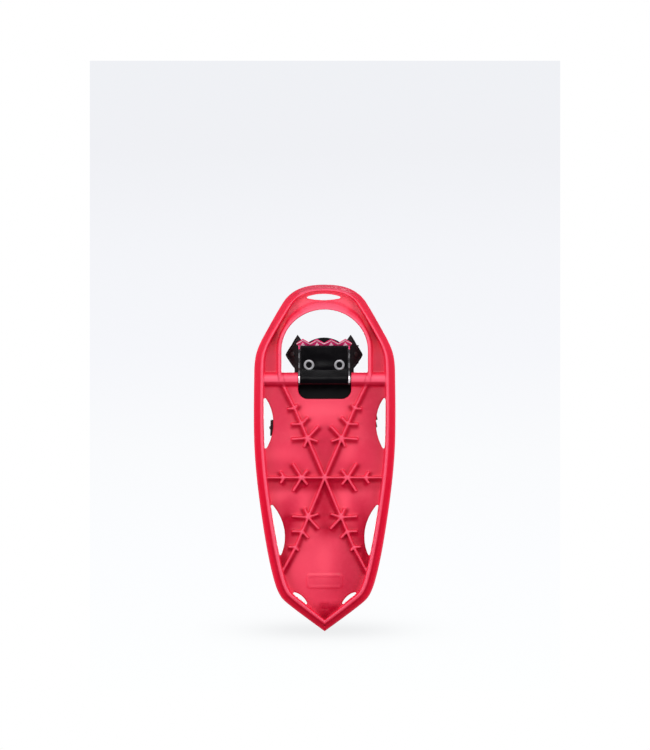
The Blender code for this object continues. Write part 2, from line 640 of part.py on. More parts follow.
def make_wing(side, word):
    """Pointed side panel: cut flat, then bent up round the boot."""
    plan_edge = [(33.0, -153.4), (40.4, -140.2), (44.4, -134.0)]
    pts = [(26.6, -142.0), (27.8, -146.2)] + plan_edge
    flat = [(wing_s(x), y) for x, y in pts]
    flat += [(WING_TOP_S + 5.0, -128.4), (wing_s(43.4), -121.2), (wing_s(36.6), -111.3), (wing_s(36.6), -106.6),
             (wing_s(42.0), -103.6), (WING_TOP_S + 9.0, -100.5), (WING_TOP_S + 9.0, -81.5), (wing_s(42.0), -77.6), (wing_s(34), -76.0), (26.6, -76.0)]
    sheet = plan("wing_" + word, flat, -WING_T / 2, WING_T / 2)
    bm = bmesh.new()
    bm.from_mesh(sheet.data)
    for s in [WING_FLAT] + list(np.linspace(WING_FLAT, WING_TOP_S, 9)[1:]):
        bmesh.ops.bisect_plane(bm, geom=bm.verts[:] + bm.edges[:] + bm.faces[:], dist=1e-7,
                               plane_co=(s * MM, 0, 0), plane_no=(1, 0, 0))
    bmesh.ops.triangulate(bm, faces=bm.faces[:])
    for v in bm.verts:
        x, z = wing_point(v.co.x / MM, v.co.z / MM)
        v.co.x, v.co.z = (side * x + BIND_X) * MM, z * MM
    if side < 0:
        bmesh.ops.reverse_faces(bm, faces=bm.faces[:])
    bm.to_mesh(sheet.data)
    bm.free()
    for y in WING_SCREWS_Y:
        x = BIND_X + side * SCREW_X
        cut(sheet, rod("hole", (x, y, 15), (x, y, 30), 1.8, 12))
    return sheet


pivot_strap = finish(rivet_holes(make_pivot_strap()), BLACK_STRAP, 30)
crampon = finish(make_crampon(), STEEL)
foot_plate = finish(make_foot_plate(), BLACK_PLASTIC)

wings = {}
for side, word in ((-1, "left"), (1, "right")):
    x = BIND_X + side * RIVET_X
    low, high = LOWER_Z - STRAP_T / 2 - GAP, FOOT_Z1 + GAP
    finish(turned(f"rivet_{word}", [(3.15, low - 1.2), (6.2, low - 1.2), (6.5, low - 0.8), (6.5, low), (4.2, low),
                                    (4.2, high), (6.5, high), (6.5, high + 0.8), (6.2, high + 1.2), (3.15, high + 1.2)],
                  (x, RIVET_Y, 0), (0, 0, 1), 24), STEEL, 32)
    wings[word] = make_wing(side, word)
    for k, y in enumerate(WING_SCREWS_Y, 1):
        top = WING_Z + WING_T / 2 + GAP
        finish(turned(f"wing_screw_{word}_{k}",
                      [(0, 18.4), (1.5, 18.4), (1.5, top), (2.4, top), (2.2, top + 0.9), (1.3, top + 1.5), (0, top + 1.5)],
                      (BIND_X + side * SCREW_X, y, 0), (0, 0, 1), 14), STEEL, 32)


# ------------------------------------------------- straps over the boot
OFF = WING_T / 2 + GAP + WEB_T / 2         # webbing middle line off the panel's


def strap_side(x_from, s_to, beyond):
    """Half path, (x, z), from the panel's root up the panel and on."""
    path = [wing_point(s, OFF) for s in np.linspace(wing_s(x_from), s_to, 6)]
    return [tuple(p) for p in path] + list(beyond)


class Strap:
    """A strap over the boot with a cam buckle on its right-hand side."""

    def __init__(self, name, y, width, x_from, s_to, hip, shoulder, crown, s_pin):
        self.name, self.y, self.width = name, y, width
        low, high = np.array(hip), np.array(shoulder)
        self.along = (high - low) / np.linalg.norm(high - low)   # up the straight run
        self.out = np.array([-self.along[1], self.along[0]]) * -1
        if self.out[0] < 0:
            self.out = -self.out
        self.low, self.high = low, high
        left = strap_side(x_from, s_to, [])
        rise = catmull(left[-2:] + [tuple(low)] + [tuple(low + self.along * 3)], 3)[3:]
        over = catmull([tuple(high - self.along * 4), tuple(high), tuple(crown[0]), (0, crown[1])], 3)[3:]
        half = [np.array(p) for p in left[:-1]] + [np.array(p) for p in rise] + [np.array(p) for p in over]
        mirror = [np.array([-p[0], p[1]]) for p in half]
        right_down = [high, low + self.along * s_pin]
        tail = low + self.along * (s_pin - 13.0)
        top = [np.array(p) for p in over][::-1][1:]
        path = mirror + top + [high - self.along * 2, tail + self.along * 2, tail]
        self.path = path
        self.pin = low + self.along * s_pin + self.out * (WEB_T / 2 + GAP + 3.2)
        self.base = low + self.along * s_pin
        self.s_pin = s_pin
        self.left = left
        self.web()

    def p3(self, p):
        return (p[0] + BIND_X, self.y, p[1])

    def frame_point(self, a, t, b):
        """Buckle coordinates: a up the strap, t across it, b outwards."""
        p = self.base + self.along * a + self.out * b
        return (p[0] + BIND_X, self.y + t, p[1])

    def block(self, name, a0, a1, t0, t1, b0, b1):
        return extrude(name, [(a0, b0), (a1, b0), (a1, b1), (a0, b1)],
                       lambda a, b, t: self.frame_point(a, t, b), t0, t1)

    def web(self):
        self.strap = strip(self.name + "_strap", [self.p3(p) for p in self.path], self.width, WEB_T, (0, 1, 0))
        # short anchor webbing from the right panel to the underside of the buckle
        drop = WEB_T / 2 + GAP + 1.6 + GAP + WEB_T / 2
        under = lambda a: self.base + self.along * a - self.out * drop
        path = [np.array(p) for p in self.left[:-1]]
        path += [np.array(p) for p in catmull([path[-1], self.left[-1], tuple(under(-13.0)), tuple(under(-10.0))], 3)[3:]]
        path.append(under(1.5))
        self.anchor = strip(self.name + "_anchor", [self.p3(p) for p in path], self.width, WEB_T, (0, 1, 0))

    def buckle(self):
        half = self.width / 2
        cheek0, cheek1 = half + 0.5, half + 2.5
        b0 = -(WEB_T / 2 + GAP + 1.6)
        frame = self.block(self.name + "_buckle", -8.0, 13.0, -cheek1, cheek1, b0, b0 + 1.6)
        pin_b = WEB_T / 2 + GAP + 3.2
        for side in (-1, 1):
            t0, t1 = sorted((side * cheek0, side * cheek1))
            cheek = extrude("cheek", [(-7.6, b0 + 0.2), (12.0, b0 + 0.2), (9.0, pin_b + 2.4), (-3.0, pin_b + 3.4), (-7.0, pin_b + 1.6)],
                            lambda a, b, t: self.frame_point(a, t, b), t0, t1)
            join(frame, cheek)
        axis0, axis1 = self.frame_point(0, -40, pin_b), self.frame_point(0, 40, pin_b)
        cut(frame, rod("hole", axis0, axis1, 1.7, 16))
        pin = rod(self.name + "_buckle_pin", self.frame_point(0, -cheek1 - 0.8, pin_b), self.frame_point(0, cheek1 + 0.8, pin_b), 1.4, 16)
        # lever: a cam round the pin and a flat handle towards the crown
        lever = rod(self.name + "_lever", self.frame_point(0, -half, pin_b), self.frame_point(0, half, pin_b), 3.2, 20)
        handle = extrude("handle", [(0.5, pin_b + 0.4), (10, pin_b + 0.6), (24.0, pin_b - 0.4), (25.0, pin_b + 1.2), (10, pin_b + 3.0), (0.5, pin_b + 3.1)],
                         lambda a, b, t: self.frame_point(a, t, b), -half, half)
        join(lever, handle)
        cut(lever, rod("hole", axis0, axis1, 1.7, 16))
        # flush rivet from the buckle's base through the anchor
        down = -Vector((self.out[0], 0, self.out[1]))
        start = Vector(self.frame_point(-4.0, 0, b0 + 1.6 - 0.15))
        depth = 1.6 - 0.15 + GAP + WEB_T + GAP
        finish(turned(self.name + "_buckle_rivet", [(0, 0), (1.6, 0), (1.6, depth), (3.0, depth), (2.8, depth + 0.9), (0, depth + 0.9)],
                      start, down, 16), STEEL, 32)
        for target in (frame, self.anchor):
            a, b = Vector(self.frame_point(-4.0, 0, 2)), Vector(self.frame_point(-4.0, 0, -12))
            cut(target, rod("hole", a, b, 1.9, 12))
        self.frame, self.lever, self.pin_node = frame, lever, pin
        finish(frame, BLACK_PLASTIC)
        finish(lever, GREY, 40)
        finish(pin, STEEL, 32)
        set_origin(lever, self.frame_point(0, 0, pin_b))
        return self


toe = Strap("toe", TOE_STRAP_Y, TOE_STRAP_W, 33.6, wing_s(41.4), (40.6, 43.5), (21.5, 69.5), ((11.0, 74.6), 75.6), 11.0).buckle()
instep = Strap("instep", INSTEP_Y, INSTEP_W, 38.0, WING_TOP_S + 7.6, (43.4, 60.5), (22.0, 92.0), ((11.5, 98.0), 99.2), 14.0).buckle()

# rivets that hold the toe strap and its anchor to the side panels
for side, word, cloth in ((-1, "left", toe.strap), (1, "right", toe.anchor)):
    s = wing_s(38.4)
    p, q = wing_point(s), wing_point(s, 1.0)
    normal = Vector((side * (q[0] - p[0]), 0, q[1] - p[1]))
    at = Vector((side * p[0] + BIND_X, TOE_STRAP_Y, p[1]))
    for target in (wings[word], cloth):
        cut(target, rod("hole", at - normal * 9, at + normal * 9, 2.0, 12))
    low, high = -WING_T / 2 - GAP - 0.1, OFF + WEB_T / 2 + GAP + 0.6
    finish(turned(f"toe_rivet_{word}", [(0, low - 1.0), (2.6, low - 1.0), (3.2, low), (1.7, low), (1.7, high), (3.2, high), (2.6, high + 1.0), (0, high + 1.0)],
                  at, normal, 16), BLACK_PLASTIC, 32)

# --------------------------------------------------------- heel strap
HEEL_PLAN = ((50.6, -100.0), (50.6, -91.0), (50.8, -82.0), (54.6, -70.0), (59.2, -56.0), (61.0, -40.0), (60.6, -14.0),
             (55.5, 16.0), (42.0, 44.0), (22.0, 58.5), (0.0, 62.5))


def heel_z(y):
    return HEEL_PIVOT[1] + (y - HEEL_PIVOT[0]) * HEEL_RISE


half_plan = catmull(HEEL_PLAN, 3)
heel_path = [(-p[0] + BIND_X, p[1], heel_z(p[1])) for p in half_plan[:-1]]
heel_path += [(p[0] + BIND_X, p[1], heel_z(p[1])) for p in half_plan[::-1]]
heel_strap = strip("heel_strap", heel_path, HEEL_W, WEB_T, (0, 0, 1))

pad_path = []
for i in range(3, len(heel_path) - 3):
    p, a, b = (np.array(v) for v in (heel_path[i], heel_path[i - 1], heel_path[i + 1]))
    if p[1] < 44.0:
        continue
    t = (b - a) / np.linalg.norm(b - a)
    inward = np.array([t[1], -t[0], 0.0])
    pad_path.append(p + inward / np.linalg.norm(inward) * (WEB_T / 2 + GAP + 2.0))
heel_pad = finish(strip("heel_pad", pad_path, 32.0, 4.0, (0, 0, 1)), RUBBER, 40)


def heel_buckle(side, word, y0, y1):
    """Ladder buckle outside the heel strap with a grey bar across its window."""
    ys = [p[1] for p in half_plan]
    xs = [p[0] for p in half_plan]
    p0 = np.array([np.interp(y0, ys, xs), y0])
    p1 = np.array([np.interp(y1, ys, xs), y1])
    t = (p1 - p0) / np.linalg.norm(p1 - p0)
    n = np.array([t[1], -t[0]])
    length = float(np.linalg.norm(p1 - p0))
    z = heel_z((y0 + y1) / 2)
    bulge = 0.5

    def at(a, b, h):
        q = p0 + t * a + n * (b + WEB_T / 2 + GAP + bulge)
        return (side * q[0] + BIND_X, q[1], z + h)

    def block(name, a0, a1, b0, b1, h0, h1):
        return extrude(name, [(a0, b0), (a1, b0), (a1, b1), (a0, b1)], lambda a, b, t_: at(a, b, t_), h0, h1)
    frame = block(f"heel_buckle_{word}", 0, length, 0, 4.6, -13, 13)
    cut(frame, block("window", length * 0.30, length * 0.68, -3, 9, -9.4, 9.4))
    bar_a = length * 0.49
    rod_node = rod(f"heel_bar_{word}", at(bar_a, 3.4, -9.0), at(bar_a, 3.4, 9.0), 2.7, 16)
    tail = block(f"heel_tail_{word}", length + 0.4, length + 9.0, 0.4, 0.4 + WEB_T, -8.6, 8.6)
    finish(frame, BLACK_PLASTIC)
    finish(rod_node, GREY, 32)
    finish(tail, WEBBING)
    return frame, rod_node, tail


heel_parts = [heel_strap, heel_pad]
heel_parts += heel_buckle(-1, "left", -47.0, -27.0)
heel_parts += heel_buckle(1, "right", -64.0, -46.0)

# pivots at the rear corners of the panels: panel, instep strap and heel strap
for side, word, cloth in ((-1, "left", instep.strap), (1, "right", instep.anchor)):
    x = WING_FLAT + WING_A
    a = (side * (x - 9) + BIND_X, *HEEL_PIVOT)
    b = (side * (x + 9) + BIND_X, *HEEL_PIVOT)
    for target in (wings[word], cloth, heel_strap):
        cut(target, rod("hole", a, b, 2.4, 16))
    low, high = -(WING_T / 2 + GAP + WEB_T + GAP), WING_T / 2 + GAP + WEB_T + GAP
    finish(turned(f"heel_pivot_{word}", [(0, low - 1.1), (3.2, low - 1.1), (3.9, low), (2.1, low), (2.1, high), (3.9, high), (3.2, high + 1.1), (0, high + 1.1)],
                  (side * x + BIND_X, *HEEL_PIVOT), (side, 0, 0), 20), STEEL, 32)

for word in wings:
    finish(wings[word], WING_BLACK, 35)
for piece in (toe.strap, toe.anchor, instep.strap, instep.anchor, heel_strap):
    finish(piece, WEBBING, 40)

# moving groups have their origins on their joint axes
AXLE = (0.0, AXLE_Y, AXLE_Z)
for name in ("pivot_strap", "crampon", "foot_plate"):
    set_origin(bpy.data.objects[name], AXLE)
for piece in heel_parts:
    set_origin(piece, (BIND_X, *HEEL_PIVOT))
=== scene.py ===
"""Looks of a child's one-piece moulded snowshoe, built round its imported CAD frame.

The fine surfaces follow the same rules and dimensions as the CAD model, in
millimetres turned to metres: +Z up, toe towards -Y, tail towards +Y.
"""

import json
import math

import bmesh
import bpy
import numpy as np
from mathutils import Matrix, Vector

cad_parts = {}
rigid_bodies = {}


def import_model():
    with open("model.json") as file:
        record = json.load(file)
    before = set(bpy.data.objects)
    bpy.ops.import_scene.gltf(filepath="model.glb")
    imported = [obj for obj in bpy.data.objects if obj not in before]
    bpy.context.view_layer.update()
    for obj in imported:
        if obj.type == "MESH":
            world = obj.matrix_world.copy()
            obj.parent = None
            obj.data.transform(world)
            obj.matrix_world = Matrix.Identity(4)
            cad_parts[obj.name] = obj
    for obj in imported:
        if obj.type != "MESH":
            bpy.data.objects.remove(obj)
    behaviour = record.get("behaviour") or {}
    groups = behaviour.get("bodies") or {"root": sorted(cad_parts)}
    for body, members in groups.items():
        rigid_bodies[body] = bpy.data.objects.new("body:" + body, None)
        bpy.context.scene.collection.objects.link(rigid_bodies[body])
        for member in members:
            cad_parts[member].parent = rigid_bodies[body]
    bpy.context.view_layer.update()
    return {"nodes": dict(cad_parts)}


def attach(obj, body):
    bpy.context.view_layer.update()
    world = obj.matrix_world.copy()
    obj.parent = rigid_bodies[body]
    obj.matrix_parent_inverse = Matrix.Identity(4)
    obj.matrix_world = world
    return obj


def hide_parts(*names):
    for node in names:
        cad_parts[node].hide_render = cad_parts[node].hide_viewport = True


for old in list(bpy.data.objects):
    bpy.data.objects.remove(old, do_unlink=True)

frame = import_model()
MM = 0.001

# ---------------------------------------------------------------- dimensions
LENGTH = 432.0
TOE_Y, TAIL_Y = -216.0, 216.0
TOE_RISE, TOE_RISE_FROM = 30.0, -122.0     # upturn of the toe
TAIL_RISE, TAIL_RISE_FROM = 8.0, 148.0     # slight upturn of the tail
# half outline: (x, y) and the heading in degrees from +Y, and handle factors
OUTLINE = (
    (0.0, -216.0, 90.0, 0.8),
    (51.8, -193.7, 32.0, 1.2),
    (72.0, -158.5, 28.8, 1.0),
    (84.8, -131.0, 16.0, 1.0),
    (87.8, -97.5, 1.0, 1.0),
    (88.0, -30.0, -1.0, 1.0),
    (78.6, 71.0, -8.5, 1.0),
    (63.0, 152.2, -15.5, 1.0),
    (54.8, 172.2, -32.0, 1.0),
    (45.6, 181.7, -51.0, 1.0),
    (0.0, 216.0, -53.5, 1.0),
)
# rim section, as inset from the outer edge and height (full-width size)
RIM = (
    (0.0, 13.1), (0.0, 15.4), (1.2, 17.4), (4.0, 18.8), (9.0, 18.8),
    (11.6, 17.2), (12.8, 13.4), (12.6, 8.6), (12.3, 0.9), (11.7, 0.0),
    (9.3, 0.0), (8.4, 0.8), (1.7, 12.3),
)
# how wide the rim is along the shoe, as a share of that full width
RIM_WIDTH = (
    (-216.0, 0.60), (-208.0, 0.70), (-195.0, 0.79), (-160.0, 0.76),
    (-147.0, 0.77), (-130.0, 0.84), (-115.0, 0.91), (-56.0, 0.92),
    (0.0, 0.94), (52.0, 0.97), (121.0, 1.03), (170.0, 0.98), (200.0, 0.88), (216.0, 0.83),
)
PLATE_Z0, PLATE_Z1 = 8.8, 12.0             # deck plate, underside and top
RIB_W, RIB_Z = 3.3, 3.4                    # snowflake ribs, width and lower edge
FLAKE_Y = 24.2                             # centre of the snowflake
TOE_HOLE_Y, TOE_HOLE_A, TOE_HOLE_B = -133.4, 53.7, 51.2
LIP_W, LIP_Z = 4.6, 0.6                    # lip rib round the toe hole
NOTCH_X, NOTCH_Y, NOTCH_R = 33.0, -73.4, 12.0
AXLE_Y, AXLE_Z, AXLE_R, AXLE_HALF = -97.5, 9.6, 4.0, 70.0
HOUSING_R, HOUSING_TOP = 8.6, 16.6
GAP = 0.3                                  # running and assembly clearance
BORE_R = AXLE_R + GAP
KEEPER_X, KEEPER_Y, KEEPER_T = (58.0, 71.5), (-113.5, -81.5), 2.0
KEEPER_SCREWS_Y = (-109.8, -85.2)

BIND_X = -0.6                              # the binding floats to one side
STRAP_HALF, STRAP_T = 29.9, 3.0            # pivot strap
LOOP_R = BORE_R + STRAP_T / 2
LOWER_Z, UPPER_Z = 9.8, AXLE_Z + LOOP_R    # mid heights of its two layers
STRAP_FRONT, STRAP_BEND = -139.5, -108.5
RIVET_X, RIVET_Y = 18.9, -115.7
CRAMPON_Z0, CRAMPON_Z1, CRAMPON_T = 11.6, 13.6, 1.8
CRAMPON_FOLD, CRAMPON_REAR, CRAMPON_HALF = -140.0, -107.0, 32.0
TOOTH_PITCH, TOOTH_TIP, TOOTH_ROOT, TOOTH_TILT = 17.6, 13.0, 4.2, 55.0
FOOT_Z0, FOOT_Z1 = 17.2, 20.7
FOOT_FRONT, FOOT_R, FOOT_HALF, FOOT_REAR = -149.8, 36.0, 32.0, -58.0
WING_T, WING_Z = 2.4, 22.2                 # panel thickness and root mid height
WING_FLAT, WING_A, WING_B = 31.0, 17.2, 23.0
SCREW_X, WING_SCREWS_Y = 29.3, (-130.0, -88.0)
WEB_T = 1.8                                # webbing thickness
TOE_STRAP_Y, TOE_STRAP_W = -129.0, 18.0
INSTEP_Y, INSTEP_W = -91.0, 20.0
HEEL_W, HEEL_PIVOT = 18.0, (-91.0, 48.0)
HEEL_RISE = 8.0 / 153.0                    # strap climbs towards the heel



def solid(name, verts, faces):
    """A closed mesh from points in mm, with its faces turned outwards."""
    mesh = bpy.data.meshes.new(name)
    mesh.from_pydata([tuple(float(c) * MM for c in v) for v in verts], [], faces)
    bm = bmesh.new()
    bm.from_mesh(mesh)
    bmesh.ops.recalc_face_normals(bm, faces=bm.faces)
    if bm.calc_volume(signed=True) < 0:
        bmesh.ops.reverse_faces(bm, faces=bm.faces)
    bm.to_mesh(mesh)
    bm.free()
    obj = bpy.data.objects.new(name, mesh)
    bpy.context.scene.collection.objects.link(obj)
    return obj


def extrude(name, outline, place, t0, t1):
    """A plate: a 2-D outline taken from t0 to t1; place(a, b, t) gives xyz."""
    n = len(outline)
    verts = [place(a, b, t0) for a, b in outline] + [place(a, b, t1) for a, b in outline]
    faces = [list(range(n))[::-1], list(range(n, 2 * n))]
    faces += [[i, (i + 1) % n, n + (i + 1) % n, n + i] for i in range(n)]
    return solid(name, verts, faces)


def plan(name, outline, z0, z1):
    return extrude(name, outline, lambda a, b, t: (a, b, t), z0, z1)


def box(name, x0, x1, y0, y1, z0, z1):
    return plan(name, [(x0, y0), (x1, y0), (x1, y1), (x0, y1)], z0, z1)


def turned(name, profile, origin, axis, n=24):
    """A solid of revolution: profile of (radius, height) along axis."""
    axis = Vector(axis).normalized()
    turn = Vector((0, 0, 1)).rotation_difference(axis).to_matrix()
    rows, verts = [], []
    for r, h in profile:
        if r == 0:
            rows.append([len(verts)] * n)
            verts.append(turn @ Vector((0, 0, h)) + Vector(origin))
            continue
        rows.append(list(range(len(verts), len(verts) + n)))
        for i in range(n):
            a = 2 * math.pi * i / n
            verts.append(turn @ Vector((r * math.cos(a), r * math.sin(a), h)) + Vector(origin))
    faces, closed = [], profile[0][0] > 0
    for j in range(len(rows) if closed else len(rows) - 1):
        a, b = rows[j], rows[(j + 1) % len(rows)]
        for i in range(n):
            k = (i + 1) % n
            face = []
            for v in (a[i], a[k], b[k], b[i]):
                if v not in face:
                    face.append(v)
            if len(face) > 2:
                faces.append(face)
    return solid(name, verts, faces)


def rod(name, start, end, radius, n=24):
    start, end = Vector(start), Vector(end)
    length = (end - start).length
    return turned(name, [(0, 0), (radius, 0), (radius, length), (0, length)],
                  start, end - start, n)


def combine(obj, others, operation):
    for other in others:
        mod = obj.modifiers.new("cut", "BOOLEAN")
        mod.solver, mod.operation, mod.object = "EXACT", operation, other
        graph = bpy.context.evaluated_depsgraph_get()
        mesh = bpy.data.meshes.new_from_object(obj.evaluated_get(graph))
        obj.modifiers.clear()
        obj.data = mesh
        mesh.name = obj.name
        bpy.data.objects.remove(other, do_unlink=True)
    return obj


def join(obj, *others):
    return combine(obj, others, "UNION")


def cut(obj, *others):
    return combine(obj, others, "DIFFERENCE")



def catmull(points, steps=3):
    """A smooth curve through the points."""
    pts = [np.array(p, float) for p in points]
    pts = [2 * pts[0] - pts[1]] + pts + [2 * pts[-1] - pts[-2]]
    out = []
    for i in range(1, len(pts) - 2):
        p0, p1, p2, p3 = pts[i - 1:i + 3]
        for k in range(steps):
            t = k / steps
            out.append(0.5 * (2 * p1 + (p2 - p0) * t + (2 * p0 - 5 * p1 + 4 * p2 - p3) * t * t
                              + (3 * p1 - p0 - 3 * p2 + p3) * t ** 3))
    out.append(pts[-2])
    return out


# ------------------------------------------------------------------- outline
def heading(deg):
    return np.array([math.sin(math.radians(deg)), math.cos(math.radians(deg))])


def outline_curve(steps=24):
    """Right half of the outer edge from toe tip to tail tip, as points."""
    out = []
    for (x0, y0, a0, f0), (x1, y1, a1, f1) in zip(OUTLINE[:-1], OUTLINE[1:]):
        p0, p1 = np.array([x0, y0]), np.array([x1, y1])
        turn = abs(math.radians(a1 - a0))
        chord = np.linalg.norm(p1 - p0)
        h = chord * 2 / 3 * math.tan(turn / 4) / math.sin(turn / 2) if turn > 1e-3 else chord / 3
        c0 = p0 + heading(a0) * h * (f0 if y0 == TOE_Y else 1)
        c1 = p1 - heading(a1) * h * (f1 if y0 == TOE_Y else 1)
        for k in range(steps):
            t = k / steps
            out.append((1 - t) ** 3 * p0 + 3 * (1 - t) ** 2 * t * c0 + 3 * (1 - t) * t * t * c1 + t ** 3 * p1)
    out.append(np.array(OUTLINE[-1][:2]))
    return np.array(out)


def loop_stations(count=36, last=16.0):
    """Points round the whole outer edge with their inward directions."""
    curve = outline_curve()
    arc = np.concatenate([[0], np.cumsum(np.linalg.norm(np.diff(curve, axis=0), axis=1))])
    # closer together round the toe and the rear corner, where the edge bends
    bend = np.interp(curve[:, 1], [-216, -170, -150, -110, -80, 135, 148, 185, 195, 216], [3, 2, 2.4, 2.4, 0.8, 0.8, 3.2, 3.2, 1, 0.6])
    weight = np.concatenate([[0], np.cumsum(np.diff(arc) * (bend[1:] + bend[:-1]) / 2)])
    reach = np.interp(arc[-1] - last, arc, weight)
    along = np.interp(np.linspace(0, reach, count), weight, arc)
    pts = np.stack([np.interp(along, arc, curve[:, 0]), np.interp(along, arc, curve[:, 1])], 1)
    ahead = np.stack([np.interp(along + 0.5, arc, curve[:, 0]), np.interp(along + 0.5, arc, curve[:, 1])], 1)
    tang = ahead - pts
    tang /= np.linalg.norm(tang, axis=1)[:, None]
    inward = np.stack([-tang[:, 1], tang[:, 0]], 1)
    pts[0], inward[0] = (0, TOE_Y), (0, 1)
    tip = np.array([[0.0, TAIL_Y]])
    mitre = 1 / math.sin(math.radians(-OUTLINE[-1][2]))
    pts, inward = np.vstack([pts, tip]), np.vstack([inward, [[0, -mitre]]])
    left = slice(len(pts) - 2, 0, -1)
    flip = np.array([-1, 1])
    return np.vstack([pts, pts[left] * flip]), np.vstack([inward, inward[left] * flip])


STATIONS, INWARD = loop_stations()


def rim_share(y):
    return np.interp(y, [p[0] for p in RIM_WIDTH], [p[1] for p in RIM_WIDTH])


def inset_loop(distance):
    """The outer edge moved inwards by a share of the rim's local width."""
    return STATIONS + INWARD * (distance * rim_share(STATIONS[:, 1]))[:, None]


def wall_x(y, distance=12.3):
    """Half width at the rim's inner wall at this y, on the straight sides."""
    loop = inset_loop(distance)
    half = loop[:len(loop) // 2 + 1]
    return float(np.interp(y, half[:, 1], half[:, 0]))


# ---------------------------------------------------------------------- deck
def make_rim():
    loops = [inset_loop(d) for d, _ in RIM]
    n, m = len(STATIONS), len(RIM)
    verts = [(*loops[j][i], RIM[j][1]) for i in range(n) for j in range(m)]
    faces = [[i * m + j, i * m + (j + 1) % m, ((i + 1) % n) * m + (j + 1) % m, ((i + 1) % n) * m + j]
             for i in range(n) for j in range(m)]
    return solid("deck", verts, faces)


def ellipse_arc(a, b, cy, y_side, n=28, grow=0.0):
    """Half ellipse open towards the tail, with straight sides down to y_side."""
    pts = [(-(a + grow), y_side)]
    pts += [(-(a + grow) * math.cos(math.pi * k / n), cy - (b + grow) * math.sin(math.pi * k / n))
            for k in range(n + 1)]
    return pts + [(a + grow, y_side)]


def notch_path(n=5):
    """Rounded slot behind the toe hole, right corner to left corner."""
    out = []
    for side in (1, -1):
        arc = []
        for k in range(n + 1):
            a = math.pi / 2 * k / n
            arc.append((side * (NOTCH_X - NOTCH_R + NOTCH_R * math.cos(a)),
                        NOTCH_Y - NOTCH_R + NOTCH_R * math.sin(a)))
        out += arc if side == 1 else arc[::-1]
    return out


def bezier(p0, p1, p2, p3, n=10):
    p0, p1, p2, p3 = (np.array(p, float) for p in (p0, p1, p2, p3))
    return [tuple((1 - t) ** 3 * p0 + 3 * (1 - t) ** 2 * t * p1 + 3 * (1 - t) * t * t * p2 + t ** 3 * p3)
            for t in (k / n for k in range(n + 1))]


def side_windows(side):
    """Cutters for the three windows along one side of the plate."""
    out = []
    flip = lambda pts: [(side * x, y) for x, y in pts]
    # upper and lower crescents: an arched inner edge and the rim as outer edge
    for name, inner in (
        ("upper", bezier((wall_x(-78.4), -78.4), (61.4, -62.5), (58.2, -31.0), (wall_x(-7.0), -7.0))),
        ("lower", bezier((wall_x(54.0), 54.0), (48.6, 73.5), (43.6, 103.0), (wall_x(125.0), 125.0))),
    ):
        ys = np.linspace(inner[-1][1], inner[0][1], 6)
        outer = [(wall_x(y, 11.0), y) for y in ys]
        out.append(plan(f"cut_{name}", flip(inner + outer), 5, 16))
    # tail lens: straight along the rim, bowed on the deck side
    a, b = (42.8, 166.9), (19.4, 185.6)
    inner = bezier(a, (34.4, 165.6), (24.4, 171.4), b, 8)
    out.append(plan("cut_tail", flip(inner + [(b[0] - 0.1, b[1] + 0.4), (a[0] + 0.1, a[1] + 0.3)]), 5, 16))
    return out


def bar(name, p, q, width=RIB_W, z0=RIB_Z, z1=PLATE_Z0 + 0.6):
    """A straight rib from p to q, slightly narrower at its lower edge."""
    p, q = np.array(p, float), np.array(q, float)
    along = (q - p) / np.linalg.norm(q - p)
    side = np.array([-along[1], along[0]])
    verts = []
    for z, w in ((z0, width * 0.84), (z1, width)):
        verts += [(*(e + s * side * w / 2), z) for e, s in ((p, -1), (q, -1), (q, 1), (p, 1))]
    return solid(name, verts, [[3, 2, 1, 0], [4, 5, 6, 7], [0, 1, 5, 4], [1, 2, 6, 5], [2, 3, 7, 6], [3, 0, 4, 7]])


def flake_bars():
    """Six arms and their twigs. Each twig: distance out along its arm, its
    direction in degrees from +X (left arm, upper half) and its length."""
    centre = np.array([0.0, FLAKE_Y])
    bars = []
    ray = lambda deg: np.array([math.cos(math.radians(deg)), math.sin(math.radians(deg))])
    # each diagonal arm: its lean, and the end its outer stretch turns to
    arms = {1: (23.4, np.array([52.7, AXLE_Y + 4.4])), -1: (22.6, np.array([53.2, 142.4]))}
    twigs = (
        (53.5, 176.0, 20.0), (53.5, -47.0, 19.8), (53.5, 18.3, 13.5), (53.5, 111.0, 12.0),
        (72.4, 180.0, 13.0), (72.4, -47.0, 11.5),
        (93.3, 180.0, 9.0), (93.3, -56.0, 6.0),
    )
    for sx in (1, -1):
        for sy in (1, -1):              # 1 towards the toe, -1 towards the tail
            fix = lambda v: np.array([sx * v[0], sy * v[1]])
            lean, end = arms[sy]
            out = np.array([-math.sin(math.radians(lean)), -math.cos(math.radians(lean))])
            bars.append((centre - fix(out) * 1.0, centre + fix(out) * 93.6))
            bars.append((centre + fix(out) * 92.6, end * (-sx, 1)))
            for far, deg, length in twigs:
                start = centre + fix(out * far)
                bars.append((start, start + fix(ray(deg)) * length))
        side = wall_x(FLAKE_Y) + 1.0
        bars.append((centre + (sx, 0), centre - (sx * side, 0)))
        for sy in (1, -1):
            for far, deg, length in ((28.6, -122.2, 20.4), (28.6, -51.0, 11.5), (50.0, -124.6, 8.8)):
                start = centre - (sx * far, 0)
                d = ray(deg)
                bars.append((start, start + np.array([sx * d[0], sy * d[1]]) * length))
    return bars


